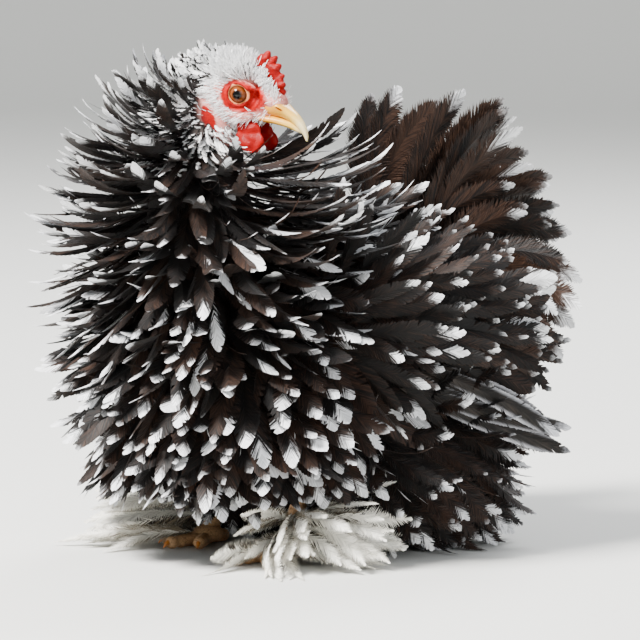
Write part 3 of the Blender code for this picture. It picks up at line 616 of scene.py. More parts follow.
def beak_half(name, stations, flat_side):
    """A lofted half of the beak, flattened by the mouth below where flat_side is -1, or above where 1."""
    centres = [mm(x, 0, z) for x, z, wide, high in stations]
    sizes = [Vector((wide / 1000, high / 1000)) for x, z, wide, high in stations]
    loops = []
    for t in (i / BEAK_STEPS for i in range(BEAK_STEPS + 1)):
        centre, (wide, high) = spline(centres, t), spline(sizes, t)
        up = Vector((0, 1, 0)).cross(way_at(centres, t))
        loop = []
        for c, s in circle(28):
            y, z = copysign(abs(c) ** 0.9, c) * wide, s * high
            if z * flat_side > 0:
                y, z = y * (1 + 0.1 * abs(s)), z * 0.72
            loop.append(centre + Vector((0, y, 0)) + up * z)
        loops.append(loop)
    bm = bmesh.new()
    loft(bm, loops)
    half = object_from(bm, name)
    store(half.data, "reach", [clamp((vert.co.x - 0.016) / 0.026) for vert in half.data.vertices])
    return half


def add_nostrils(beak):
    """Cuts a slit on each side of the upper beak and leaves a swollen flap above it."""
    for vert in beak.data.vertices:
        side = side_of(vert.co)
        away = vert.co - on_side(NOSTRIL_PLACE, side)
        bulge = exp(-((away.x / 0.003) ** 2 + (away.z / 0.0018) ** 2))
        vert.co += Vector((0, side * 0.0013, 0.0004)) * bulge
    for side in (1, -1):
        bm = bmesh.new()
        place = on_side(NOSTRIL_PLACE + mm(0.6, 0.6, -1.2), side)
        blob(bm, oval(place, NOSTRIL_HALF, Matrix.Rotation(radians(12), 3, "Y")), 24, 14)
        combine(beak, object_from(bm, "slit"), "DIFFERENCE", "EXACT")


horn = horn_material()
upper_beak = beak_half("upper_beak", UPPER_BEAK, -1)
add_nostrils(upper_beak)
finish_piece(upper_beak, horn, "beak_upper", slot="horn", place=HEAD_FRAME)
lower_beak = beak_half("lower_beak", LOWER_BEAK, 1)
finish_piece(lower_beak, horn, "beak_lower", slot="horn", place=HEAD_FRAME)

# Comb and wattles
# Soft, blood-filled folds of red skin, each of ovals melted together: a low, single comb with blunt points
# that leans forward over the brow, and two short rounded wattles that hang behind the lower beak.
COMB_PLACE = mm(16.5, 0, 12.5)
COMB_HALF = mm(10.2, 2.5, 6.2)
COMB_SLANT = radians(40)
FOLD_VOXEL = 0.00035
# In millimetres, place along the head and height of each lobe, its half sizes along and up, and its lean
# forward in degrees
COMB_LOBES = [
    (9.8, 18, 2, 3.6, 0), (12.2, 19.6, 2.1, 4.8, 14), (15.2, 19, 1.9, 4.2, 26), (18, 16.8, 2, 4.4, 40),
    (20.6, 13.8, 1.8, 3.6, 52), (22.6, 10.8, 1.9, 3.4, 62), (24, 8.2, 1.7, 2.5, 72),
]
WATTLE_PLACE = mm(18.6, 6.6, -16.2)
WATTLE_HALF = mm(7.6, 1.7, 5.6)
STALK_PLACE = mm(16, 5.6, -11.6)
STALK_HALF = mm(6.4, 1.9, 4.2)


def comb_material():
    """Comb skin: dense, velvety papillae about 0.4 mm across over bright red flesh."""
    paint = Paint("red_comb_skin", {
        "Roughness": 0.42, "Specular IOR Level": 0.14,
        "Subsurface Weight": 0.04, "Subsurface Radius": (0.002, 0.0003, 0.0002),
    })
    return paint.finish(paint.mix(paint.noise(260, 4), "#9c0100", "#5c0002"), paint.cells(2200))


def make_comb():
    bm = bmesh.new()
    blob(bm, oval(COMB_PLACE, COMB_HALF, Matrix.Rotation(COMB_SLANT, 3, "Y")))
    for i, (x, z, wide, tall, lean) in enumerate(COMB_LOBES):
        turn = Matrix.Rotation(radians(lean), 3, "Y")
        blob(bm, oval(mm(x, 0.5 * (-1) ** i, z), mm(wide, 1.7, tall), turn), 20, 14)
    comb = remeshed(bm, "comb_flesh", FOLD_VOXEL, 5)
    for vert in comb.data.vertices:
        grain = noise.noise(vert.co * 700) * 0.00025 + noise.noise(vert.co * 260) * 0.00045
        vert.co += Vector((0.3, side_of(vert.co), 0.3)) * grain
    finish_piece(comb, comb_flesh, "comb", slot="red_skin", place=HEAD_FRAME)


def make_wattle(side, name):
    """A hanging lobe of skin, gathered in shallow folds where it leaves the jaw."""
    bm = bmesh.new()
    turn = Matrix.Rotation(radians(10 * side), 3, "X")
    blob(bm, oval(on_side(WATTLE_PLACE, side), WATTLE_HALF, turn), 36, 24)
    blob(bm, oval(on_side(STALK_PLACE, side), STALK_HALF, turn), 24, 16)
    wattle = remeshed(bm, "wattle_skin_" + name, FOLD_VOXEL, 6)
    for vert in wattle.data.vertices:
        fold = noise.noise(vert.co * 260 + Vector((side * 3, 0, 0))) * 0.0009
        vert.co += Vector((0, side, 0)) * fold
    finish_piece(wattle, comb_flesh, "wattle_" + name, slot="red_skin", place=HEAD_FRAME)


comb_flesh = comb_material()
make_comb()
make_wattle(1, "left")
make_wattle(-1, "right")

# Feathers
# Each feather is one closed blade of black or white keratin: a raised shaft with a row of separate barb
# tips down both sides, curled along its length. Geometry Nodes set ten shapes of each kind on its roots.
BAKE_PATCH = 0.003
SHAPES_A_KIND = 10
CURL_STEPS = 24
CAMBER = 0.16
FLOOR_CUSHION = 0.004
FLOOR_MIDDLE = mm(0, -20, 0)


def feather(length, width, barbs, curl, notch, ragged, loose, thick=0.35, **own):
    """The shape of a kind of feather, from its own values and the usual ones, with lengths in millimetres.

    barbs is their number a side, curl a range in degrees, and notch the depth of the gaps between the barbs,
    near the root and further out. ragged is how much their reach varies, and loose how far they leave the
    vane.
    """
    kind = {"widest": 0.62, "late": 1, "bow": (-0.25, 0.25), "splits": 0.12, "roll": 0.1}
    kind |= {"barbs": barbs, "curl": curl, "notch": notch, "ragged": ragged, "loose": loose / 1000}
    return kind | {"length": length / 1000, "width": width / 1000, "thick": thick / 1000} | own


def curled_path(length, curl, bow, twist, late):
    """The frames along a feather that bends by curl degrees towards +Z: place, heading, side and up.

    A larger late leaves more of the bend to the tip.
    """
    frames = []
    place = Vector((0, 0, 0))
    for s in (i / CURL_STEPS for i in range(CURL_STEPS + 1)):
        angle = radians(curl) * s**late
        heading = Vector((bow * s**1.6, cos(angle), sin(angle))).normalized()
        side = Vector((1, 0, 0)) - heading * heading.x
        side = Matrix.Rotation(radians(twist) * s, 3, heading) @ side.normalized()
        frames.append((place.copy(), heading, side, side.cross(heading)))
        place += heading * (length / CURL_STEPS)
    return frames


def width_at(x, widest):
    """Half width of a vane, as a share of its widest, at a share x of its length."""
    if x < widest:
        return 0.3 + 0.7 * sin(0.5 * pi * x / widest)
    return max(0, 1 - ((x - widest) / (1 - widest)) ** 2) ** 0.62


def blade(name, kind, chance):
    """One feather of a kind, rooted at the origin with its length along +Y and its outer face up."""
    half, barbs, ragged, loose = kind["width"] / 2, kind["barbs"], kind["ragged"], kind["loose"]
    curl, bow, twist = chance.uniform(*kind["curl"]), chance.uniform(*kind["bow"]), chance.uniform(-18, 18)
    frames = curled_path(kind["length"], curl, bow, twist, kind["late"])
    points, places, faces = [], [], []

    def put(x, y, z):
        at = clamp(x) * CURL_STEPS
        i = min(int(at), CURL_STEPS - 1)
        centre, heading, side, up = frames[i]
        points.append(centre.lerp(frames[i + 1][0], at - i) + side * y + up * (z - CAMBER * y * y / half))
        places.append((x, y / half))
        return len(points) - 1

    root, end = put(0, 0, 0), put(1, 0, 0)
    shaft = [0.015 + 0.93 * i / barbs for i in range(barbs)]
    front = [put(x, 0, kind["thick"] * (1.15 - x)) for x in shaft] + [end]
    rear = [put(x, 0, -kind["thick"] * (1.15 - x)) for x in shaft] + [end]
    for side in (1, -1):
        tips = []
        for i in range(barbs):
            x = min(0.995, 0.1 + 0.89 * (i + 0.55) / barbs + chance.uniform(-0.008, 0.008))
            y = half * width_at(x, kind["widest"]) * (1 + chance.uniform(-ragged, ragged))
            tips.append((x, max(y, half * 0.05)))
        split = [chance.random() < kind["splits"] for i in range(barbs)]
        ends = [put(x, side * y, chance.uniform(-1, 1) * loose) for x, y in tips]
        notches = [root]
        for i in range(1, barbs):
            shallow, deep = kind["notch"]
            depth = (shallow + (deep - shallow) * min(1, i / barbs * 1.6)) * (0.45 if split[i] else 1)
            x = shaft[i] * (1 - depth) + 0.5 * (tips[i - 1][0] + tips[i][0]) * depth
            y = 0.5 * (tips[i - 1][1] + tips[i][1]) * depth
            notches.append(put(x, side * y, -loose * 0.6))
        notches.append(end)
        for i in range(barbs):
            for spine, flip in ((front, side), (rear, -side)):
                made = [(spine[i], notches[i], ends[i]), (spine[i], ends[i], notches[i + 1])]
                if i < barbs - 1:
                    made.append((spine[i], notches[i + 1], spine[i + 1]))
                faces += [face if flip > 0 else face[::-1] for face in made]
    mesh = bpy.data.meshes.new(name)
    mesh.from_pydata(points, [], faces)
    for key, column in (("along", 0), ("across", 1)):
        store(mesh, key, [place[column] for place in places])
    shafts = set(front + rear)
    store(mesh, "sharp_edge", [shafts.isdisjoint(edge.vertices) for edge in mesh.edges], "BOOLEAN", "EDGE")
    return bpy.data.objects.new(name, mesh)


def scatter_nodes():
    """A node group that sets a random shape from a collection on each root, and lays out its bake patch."""
    tree = bpy.data.node_groups.new("set_feathers", "GeometryNodeTree")
    inputs = {"Geometry": "Geometry", "Shapes": "Collection", "Material": "Material", "Seed": "Int"}
    for name, kind in inputs.items():
        tree.interface.new_socket(name, in_out="INPUT", socket_type="NodeSocket" + kind)
    tree.interface.new_socket("Geometry", in_out="OUTPUT", socket_type="NodeSocketGeometry")
    given = add_node(tree, "NodeGroupInput").outputs

    def kept(name, kind="FLOAT_VECTOR"):
        node = add_node(tree, "GeometryNodeInputNamedAttribute", {"Name": name}, data_type=kind)
        return node.outputs["Attribute"]

    sockets = {"Collection": given["Shapes"], "Separate Children": True, "Reset Children": True}
    shapes = add_node(tree, "GeometryNodeCollectionInfo", sockets, transform_space="ORIGINAL")
    sockets = {"Seed": given["Seed"], 4: 0, 5: SHAPES_A_KIND - 1}
    pick = add_node(tree, "FunctionNodeRandomValue", sockets, data_type="INT")
    turn = add_node(tree, "FunctionNodeEulerToRotation", {"Euler": kept("turn")})
    placed = add_node(tree, "GeometryNodeInstanceOnPoints", {
        "Points": given["Geometry"], "Instance": shapes.outputs["Instances"], "Pick Instance": True,
        "Instance Index": pick.outputs[2], "Rotation": turn.outputs["Rotation"], "Scale": kept("size"),
    })
    real = add_node(tree, "GeometryNodeRealizeInstances", {"Geometry": placed.outputs["Instances"]})
    sockets = {"X": kept("across", "FLOAT"), "Y": kept("along", "FLOAT")}
    local = add_node(tree, "ShaderNodeCombineXYZ", sockets)
    sockets = {0: local.outputs["Vector"], 1: (BAKE_PATCH / 2, BAKE_PATCH, 0), 2: kept("patch")}
    spot = add_node(tree, "ShaderNodeVectorMath", sockets, operation="MULTIPLY_ADD").outputs["Vector"]
    sockets = {"Geometry": real.outputs["Geometry"], "Name": "OFBake", "Value": spot}
    mapped = add_node(tree, "GeometryNodeStoreNamedAttribute", sockets, data_type="FLOAT2", domain="CORNER")
    sockets = {"Geometry": mapped.outputs["Geometry"], "Material": given["Material"]}
    painted = add_node(tree, "GeometryNodeSetMaterial", sockets)
    add_node(tree, "NodeGroupOutput", {"Geometry": painted.outputs["Geometry"]})
    return tree


def root_frame(lie, out, lift):
    """The Euler turn that points a feather's length along lie, raised by lift degrees towards out."""
    out = (out - lie * out.dot(lie)).normalized()
    a = radians(lift)
    heading = lie * cos(a) + out * sin(a)
    up = out * cos(a) - lie * sin(a)
    return Matrix((heading.cross(up), heading, up)).transposed().to_euler()


def rest_on_floor(mesh):
    """Lays whatever would reach the floor softly along it, outwards from the middle."""
    flat = [0] * (len(mesh.vertices) * 3)
    mesh.vertices.foreach_get("co", flat)
    for i in range(0, len(flat), 3):
        x, y, z = flat[i : i + 3]
        if z < FLOOR_CUSHION:
            settled = FLOOR_CUSHION * exp((z - FLOOR_CUSHION) / FLOOR_CUSHION)
            away = Vector((x - FLOOR_MIDDLE.x, y - FLOOR_MIDDLE.y, 0)).normalized() * ((settled - z) * 0.4)
            flat[i : i + 3] = x + away.x, y + away.y, settled
    mesh.vertices.foreach_set("co", flat)
    mesh.update()


def plant(name, kind, roots, painted, seed):
    """A coat piece: one feather of the kind at each root, as one plain mesh.

    A root is (place, lie, out, lift, size, patch, tone, white), with lie and out unit directions.
    """
    roots = list(roots)
    chance = random.Random(seed)
    shapes = bpy.data.collections.new(name + "_shapes")
    for i in range(SHAPES_A_KIND):
        shapes.objects.link(blade("%s_shape_%02d" % (name, i), kind, chance))
    mesh = bpy.data.meshes.new(name)
    mesh.from_pydata([root[0] for root in roots], [], [])
    turns, sizes, patches = [], [], []
    for place, lie, out, lift, size, spot, tone, white in roots:
        turns += root_frame(lie, Matrix.Rotation(chance.gauss(0, kind["roll"]), 3, lie) @ out, lift)
        sizes += size
        patches += (0.01 + 0.97 * spot[0], 0.01 + 0.97 * spot[1], 0)
    for key, values in (("turn", turns), ("size", sizes), ("patch", patches)):
        store(mesh, key, values, "FLOAT_VECTOR")
    for key, column in (("tone", 6), ("white", 7)):
        store(mesh, key, [root[column] for root in roots])
    coat = new_object(name, mesh)
    modifier = coat.modifiers.new("Feathers", "NODES")
    modifier.node_group = feather_nodes
    given = {"Shapes": shapes, "Material": painted, "Seed": seed}
    for item in feather_nodes.interface.items_tree:
        if item.name in given:
            modifier[item.identifier] = given[item.name]
    apply_modifiers(coat)
    for shape in list(shapes.objects):
        bpy.data.objects.remove(shape, do_unlink=True)
    bpy.data.collections.remove(shapes)
    for used in ("turn", "size", "patch"):
        if used in coat.data.attributes:
            coat.data.attributes.remove(coat.data.attributes[used])
    rest_on_floor(coat.data)
    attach(coat, "root")
    return coat


def plume_material(name, dark, brown_and_gloss, pale, barb_lines, rim=0, streaks=0.42):
    """Feather keratin: fine, uneven barb lines about a millimetre apart, a pale tip and, by rim, pale edges.

    The colour of each feather wanders at random between dark and a lighter brown, and a painted gloss lifts
    its barb lines towards that brown. Its tip turns pale from where the feather's own share, white, says, in
    a ragged tongue that reaches further down along the shaft than at the edges.
    """
    paint = Paint(name, {
        "Roughness": 0.55, "IOR": 1.55, "Specular IOR Level": 0.2,
        "Sheen Weight": 0.06, "Sheen Roughness": 0.4,
    })
    calc = paint.calc
    along, across, tone, white = (paint.attribute(key) for key in ("along", "across", "tone", "white"))
    aside = calc("ABSOLUTE", across)
    sweep = calc("MULTIPLY", calc("SUBTRACT", along, calc("MULTIPLY", aside, 0.24)), barb_lines)
    sockets = {"X": sweep, "Y": calc("MULTIPLY", across, 1.6), "Z": calc("MULTIPLY", tone, 37)}
    barb_place = add_node(paint.tree, "ShaderNodeCombineXYZ", sockets).outputs["Vector"]
    line = paint.stretch(paint.noise(1, place=barb_place), 0.3, 0.7, kind="LINEAR")
    # Lifting the colour along the barb lines is a painted gloss on the barbs; tone is each feather's own
    # random brown.
    shade = calc("MULTIPLY_ADD", line, 1.1, calc("MULTIPLY_ADD", paint.noise(130), 0.8, -1))
    body = paint.mix(calc("ADD", shade, tone), dark, brown_and_gloss)
    tongue = calc("MULTIPLY", white, calc("MULTIPLY_ADD", aside, -1.7, 1.7))
    reach = calc("MULTIPLY_ADD", calc("SUBTRACT", paint.noise(700, 3), 0.5), 0.08, tongue)
    reach = calc("MULTIPLY_ADD", calc("SUBTRACT", line, 0.5), calc("MULTIPLY", white, 1.3), reach)
    tip = paint.stretch(calc("SUBTRACT", along, calc("SUBTRACT", 1, reach)), -0.06, 0.055)
    tip = calc("MULTIPLY", tip, calc("MULTIPLY_ADD", line, streaks, 1 - streaks))
    if rim:
        edge = paint.stretch(calc("MULTIPLY_ADD", line, 0.2, aside), 0.55, 1.1, rim)
        tip = calc("MAXIMUM", tip, edge)
    return paint.finish(paint.mix(tip, body, pale), line)


feather_nodes = scatter_nodes()
# The faint blue in the white of black_feather and flight_feather is a painted cast of sky light.
dark_plume = plume_material("black_feather", "#050303", "#3c281d", "#fbfcff", 64)
flight_plume = plume_material("flight_feather", "#0b0908", "#40362f", "#e4e5ec", 90, 0.55)
white_plume = plume_material("white_feather", "#2e2722", "#a3957f", "#fffdf4", 40, 0.72)
small_plume = plume_material("head_feather", "#0d0b0a", "#3a3431", "#ffffff", 12, streaks=0.1)

# Body plumage
# Curled black contour feathers with white spangles. Their roots spread evenly over breast, back and belly,
# and they lie away from the throat and lift off the body more on the breast.
GOLDEN_TURN = pi * (3 - sqrt(5))
FACE_ROOM = mm(31, 44, 23)
FACE_ROOM_CENTRE = mm(18, -12, -1)
SIDE_REACH = 0.104
FRONT_REACH = -0.136
FEET_ROOM_HEIGHT = 0.025
FEET_ROOM_SLOPE = 0.26
FEET_ROOM_BACK = 0.012
SHORTENING = (1, 0.88, 0.76, 0.66, 0.56, 0.48, 0.4)
PART_Z = 0.088
LIE_SOURCE = mm(0, -52, 150)
BODY_ROOTS = 1320
BODY_WHITES = {"breast": 0.1, "crop": 0.055, "back": 0.045, "belly": 0.05}
NOISE_SHIFT = Vector((7.3, 2.1, 4.9))
BREAST_FEATHER = feather(
    57, 14, 28, (-14, 32), (0.5, 0.92), 0.04, 0.14, splits=0.14, late=1.8, widest=0.58, roll=0.45,
)
BACK_FEATHER = feather(
    60, 12.4, 30, (-10, 26), (0.45, 0.9), 0.06, 0.2, splits=0.16, late=1.8, widest=0.56, roll=0.4,
)
BELLY_FEATHER = feather(
    52, 11, 28, (0, 40), (0.3, 0.84), 0.09, 0.3, splits=0.24, late=2, widest=0.56, roll=0.4,
)


def even_directions(count):
    """Unit directions spread evenly over a sphere, with each one's place on its level map."""
    for i in range(count):
        z = -1 + 2 * (i + 0.5) / count
        flat = sqrt(1 - z * z)
        turn = GOLDEN_TURN * i
        spot = ((turn / (2 * pi)) % 1, 0.5 + 0.5 * z)
        yield Vector((flat * cos(turn), flat * sin(turn), z)), spot


def surface_at(shape, direction):
    """The point of a mapped sphere in a direction, and the normal there."""
    first = direction.orthogonal().normalized()
    second = direction.cross(first)
    across = [
        shape((direction + way * 0.02).normalized()) - shape((direction - way * 0.02).normalized())
        for way in (first, second)
    ]
    return shape(direction), across[0].cross(across[1]).normalized()


def along_surface(flow, normal):
    return (flow - normal * flow.dot(normal)).normalized()


def in_the_way(place):
    """Whether a place is in the oval round the face, low in front, or past the longest feathers' reach."""
    if abs(place.x) > SIDE_REACH or place.y < FRONT_REACH:
        return True
    local = HEAD_FRAME.inverted() @ place - FACE_ROOM_CENTRE
    if Vector((local.x / FACE_ROOM.x, local.y / FACE_ROOM.y, local.z / FACE_ROOM.z)).length < 1:
        return True
    room = FEET_ROOM_HEIGHT - FEET_ROOM_SLOPE * max(0, place.y + 0.03)
    return place.y < FEET_ROOM_BACK and place.z < room


def clear_length(place, lie, out, lift, kind, long):
    """The share of a feather's length, at most long, that keeps it out of the way, or None."""
    turn = root_frame(lie, out, lift).to_matrix()
    for share in SHORTENING:
        frames = curled_path(kind["length"] * long * share, sum(kind["curl"]) / 2, 0, 0, kind["late"])
        if not any(in_the_way(place + turn @ frame[0]) for frame in frames[4::4]):
            return long * share
    return None


def white_share(chance, usual):
    """How far a feather's white reaches from its tip: usually a spangle, now and then a long streak."""
    if chance.random() < 0.04:
        return chance.uniform(0.22, 0.42)
    return usual * chance.uniform(-0.3, 1.6)


def under_wing(root):
    return abs(root.x) > 0.03 and -0.02 < root.y < 0.05 and 0.078 < root.z < 0.128


def body_roots():
    chance = random.Random(21)
    found = {part: [] for part in BODY_WHITES}
    for direction, spot in even_directions(BODY_ROOTS):
        root, normal = surface_at(torso_shape, direction)
        if under_wing(root):
            continue
        upper, lower = ("breast", "crop") if root.y < 0 else ("back", "belly")
        part = upper if root.z > PART_Z else lower
        swirl = 0.45 * noise.noise(root * 55) + chance.gauss(0, 0.2)
        lie = Matrix.Rotation(swirl, 3, normal) @ along_surface(root - LIE_SOURCE, normal)
        high = clamp((root.z - TORSO_CENTRE.z) / 0.05)
        low = clamp((TORSO_CENTRE.z - root.z) / 0.045)
        fore = clamp((-0.012 - root.y) / 0.045)
        lift = 14 + 18 * fore + 8 * low + 5 * high * fore + chance.gauss(0, 6)
        lift += 10 * noise.noise(root * 48 + NOISE_SHIFT)
        white = white_share(chance, BODY_WHITES[part])
        tone, wide = chance.uniform(-0.15, 0.5), chance.uniform(0.75, 1.12)
        place = root - normal * 0.0015
        long = clear_length(place, lie, normal, lift, BREAST_FEATHER, chance.uniform(0.88, 1.1))
        if long:
            found[part].append((place, lie, normal, lift, (wide, long, long), spot, tone, white))
    return found


body = body_roots()
plant("upper_breast_plumage", BREAST_FEATHER, body["breast"], dark_plume, 30)
plant("lower_breast_plumage", BREAST_FEATHER, body["crop"], dark_plume, 31)
plant("back_plumage", BACK_FEATHER, body["back"], dark_plume, 32)
plant("belly_plumage", BELLY_FEATHER, body["belly"], dark_plume, 33)

# Neck ruff
# Narrow black hackles with white tips, in rings round the neck. They stand straight out and curl up and
# forward, so that the neck is hidden in a round ruff. Behind the head they stand up.
HACKLE_ROWS = 15
HACKLES_IN_ROW = (48, 28)
RUFF_CREST = Vector((0.8, 0.6, 0))
RUFF_REAR = Vector((0.3, 0.95, 0))
RUFF_NAPE = Vector((-0.76, -0.65, 0))
HACKLE = feather(
    54, 10.8, 26, (4, 50), (0.45, 0.92), 0.03, 0.14, widest=0.56, late=1.8, splits=0.14, roll=0.4,
)


def hackle_ring(row, chance):
    """The roots of one ring of hackles, of which row 0 is the lowest."""
    share = row / (HACKLE_ROWS - 1)
    t = 0.1 + 0.84 * share
    centre, along, radius = spline(NECK_PATH, t), way_at(NECK_PATH, t, 0.03), spline(NECK_RADII, t)
    count = round(HACKLES_IN_ROW[0] + (HACKLES_IN_ROW[1] - HACKLES_IN_ROW[0]) * share)
    for i in range(count):
        spot = ((i + 0.5 * (row % 2)) / count, share)
        turn = 2 * pi * spot[0] + chance.uniform(-0.05, 0.05)
        out = along_surface(Vector((cos(turn), sin(turn), 0)), along)
        facing = clamp(out.dot(RUFF_CREST)) * clamp(1.7 - abs(share - 0.5) / 0.25)
        rear = clamp(1.6 * out.dot(RUFF_REAR) - 0.5) * clamp((share - 0.45) / 0.15)
        nape = clamp(1.3 * out.dot(RUFF_NAPE)) * clamp((share - 0.15) / 0.45)
        lift = 50 + 30 * facing + 22 * max(0, share - 0.6) / 0.4 + chance.gauss(0, 6)
        lift += 18 * rear + 46 * nape
        long = (1.06 + 0.22 * sin(pi * share) - 0.44 * share) * chance.uniform(0.86, 1.1)
        long *= 1 + 0.15 * facing + 0.05 * rear - 0.1 * nape
        wide = (1 - 0.45 * share) * (1 + 0.5 * nape) * chance.uniform(0.9, 1.1)
        swirl = 0.4 * noise.noise((centre + out * radius) * 55) + chance.gauss(0, 0.2)
        lie = Matrix.Rotation(swirl, 3, out) @ -along
        lift += 14 * noise.noise((centre + out * radius) * 48 + NOISE_SHIFT)
        white = chance.choice((0.04, 0.08, 0.14, 0.3)) if share > 0.7 else white_share(chance, 0.11)
        tone = chance.uniform(-0.15, 0.5)
        place = centre + out * (radius - 0.001)
        if share > 0.8 and out.dot(FACE_WAY) > 0.2:
            continue
        long = clear_length(place, lie, out, lift, HACKLE, long)
        if long:
            yield place, lie, out, lift, (wide, long, long), spot, tone, white


chance = random.Random(22)
ruff = [root for row in range(HACKLE_ROWS) for root in hackle_ring(row, chance)]
plant("lower_hackle", HACKLE, [root for root in ruff if root[5][1] < 0.5], dark_plume, 34)
plant("upper_hackle", HACKLE, [root for root in ruff if root[5][1] >= 0.5], dark_plume, 35)

# Head plumage
# Dense white pointed feathers on crown and throat, streaked black and white ones down the nape and round
# the upper neck, and white bristles on cheeks, forehead and comb. Rays find their roots on the skin.
HEAD_ROOTS = 7400
COMB_BRISTLES = 700
COLLAR_FEATHERS = 900
CROWN_FEATHER = feather(10, 1.7, 4, (0, 46), (0.3, 0.7), 0.12, 0.1, thick=0.12, widest=0.38)
NAPE_FEATHER = feather(19, 3.4, 6, (10, 50), (0.3, 0.7), 0.1, 0.2, thick=0.16, widest=0.42)
BRISTLE = feather(5, 0.55, 3, (0, 50), (0.3, 0.8), 0.2, 0.04, thick=0.12, widest=0.3)


def head_roots():
    """Roots on the skin of the head: lists for the crown, the nape and the bristles."""
    chance = random.Random(23)
    found = {"crown": [], "nape": [], "bristle": []}
    turn, back = HEAD_FRAME.to_3x3(), HEAD_FRAME.inverted()
    for d, spot in even_directions(HEAD_ROOTS):
        place, normal, index, distance = skin_surface.ray_cast(HEAD_FRAME @ (d * 0.05), -(turn @ d))
        if place is None:
            continue
        local = back @ place
        bare = redness_at(local)
        bristly = 0.4 + 0.42 * (local.z > 0.004) - 0.42 * bare
        wander = Matrix.Rotation(chance.gauss(0, 0.28), 3, normal)
        tone = chance.uniform(-0.1, 0.9)
        if abs(local.y) < 0.002 and local.x > 0.006 and local.z > 0.004:
            continue
        part, white, wide = "crown", 1.6, 0.9
        on_crown = local.z > 0.0072 + 0.2 * max(local.x, 0)
        if (on_crown or local.x < -0.0085) and bare < 0.6:
            rear = clamp((0.004 - local.x) / 0.018)
            fore = clamp((local.x + 0.002) / 0.008)
            low = clamp((0.004 - local.z) / 0.012)
            flow = Vector((-0.9, 0.5 * d.y, 0.35 - 0.5 * rear))
            lift = 34 + 12 * fore + chance.gauss(0, 9)
            long = (0.74 + 0.12 * fore + 0.2 * low) * chance.uniform(0.7, 1.25)
            wide = 0.8 + 0.3 * rear
            if chance.random() < 0.16 + 0.5 * rear:
                part, wide, tone = "nape", 0.7 + 0.3 * rear, tone - 0.3
                long = (0.42 + 0.14 * clamp(rear * 3 - 2) + 0.2 * low) * chance.uniform(0.75, 1.25)
                white = chance.choice((0.05, 0.15, 0.3, 0.5, 0.9) if rear > 0.45 else (0.5, 0.9, 1.6, 1.6))
            elif chance.random() < 0.6 * clamp((rear - 0.35) / 0.3) + 0.3 * low:
                white = chance.choice((0.15, 0.35))
        elif local.z < -0.0125 and bare < 0.1:
            flow = Vector((-0.7, 0.2 * d.y, -0.6))
            long = (0.55 + 0.25 * noise.noise(local * 330)) * chance.uniform(0.7, 1.2)
            white = chance.choice((1.6, 1.6, 0.5))
            lift = 32 + chance.gauss(0, 10)
        elif bare < 0.97 and local.x < 0.0255 and chance.random() < bristly:
            upward = local.z > 0.004 and local.x > 0.008
            away = local - on_side(EYE_PLACE, side_of(local))
            if Vector((away.x - 0.002, away.z)).length < 0.0078:
                continue
            part, tone, wide = "bristle", 0.8, 1
            flow = Vector((-0.3, 0, 1)) if upward else Vector((-1, 0, -0.42))
            long = chance.uniform(0.5, 1.15) * (1.15 if upward else 1) * (1 - 0.35 * bare)
            lift = 24 + chance.gauss(0, 8)
        else:
            continue
        lie = wander @ (turn @ along_surface(flow, back.to_3x3() @ normal))
        size = (wide, long, 1 if part == "bristle" else long)
        found[part].append((place, lie, normal, lift, size, spot, tone, white))
    return found


def comb_bristles():
    """White bristles that grow up out of both sides of the comb's base, and in front of it."""
    chance = random.Random(29)
    turn = HEAD_FRAME.to_3x3()
    for i in range(COMB_BRISTLES):
        share, side = chance.random(), chance.choice((1, -1))
        local = mm(8.5 + 16.5 * share, side * (3 - 1.2 * share), 12.8 - 8.6 * share**1.5)
        local += Vector((chance.gauss(0, 0.0008), side * abs(chance.gauss(0, 0.0008)), 0))
        climb = chance.choice((0, 0, 0.004, 0.008)) * chance.random() * (1 - share)
        aside = 0.0034 * chance.random() ** 2
        local += Vector((0.2, 0, 0.6)) * climb + Vector((0, side * aside, -0.6 * aside))
        lie = turn @ Vector((0.5 + chance.gauss(0, 0.25), side * 0.35 + chance.gauss(0, 0.2), 1)).normalized()
        spot = (share, 0.25 + 0.25 * side + 0.2 * chance.random())
        long = chance.uniform(0.7, 1.35) * (1 - 0.45 * share)
        out = turn @ Vector((0, side, 0))
        yield HEAD_FRAME @ local, lie, out, chance.gauss(0, 8), (1.1, long, 1), spot, 0.8, 1.6


def collar_roots():
    """Roots round the top of the neck, from jaw to nape, where small feathers meet the ruff."""
    chance = random.Random(28)
    for i in range(COLLAR_FEATHERS):
        share = (i + 0.5) / COLLAR_FEATHERS
        turn = i * GOLDEN_TURN
        t = 0.66 + 0.34 * share
        along = way_at(NECK_PATH, t, 0.03)
        out = along_surface(Vector((cos(turn), sin(turn), 0)), along)
        place, normal, index, distance = skin_surface.ray_cast(spline(NECK_PATH, t) + out * 0.04, -out, 0.05)
        if place is None:
            continue
        local = HEAD_FRAME.inverted() @ place
        if local.x > -0.0085 and local.z > -0.0135:
            continue
        lie = Matrix.Rotation(chance.gauss(0, 0.25), 3, out) @ along_surface(-along, normal)
        behind = clamp(0.5 - 0.5 * out.dot(FACE_WAY))
        lift = 22 + 36 * behind + chance.gauss(0, 8)
        long = (0.72 + 0.3 * behind) * chance.uniform(0.8, 1.2)
        while long > 0.3 and in_the_way(place + (lie * 0.8 + normal * 0.5) * 0.02 * long):
            long -= 0.1
        white = chance.choice((0.08, 0.15, 0.45, 0.8, 1.6)) * (1 - 0.75 * behind)
        white += 0.8 * clamp(0.8 - 2 * behind)
        spot = ((turn / (2 * pi)) % 1, share)
        size = (0.7 + 0.5 * behind, long, long)
        yield place, lie, normal, lift, size, spot, chance.uniform(-0.2, 0.7), white


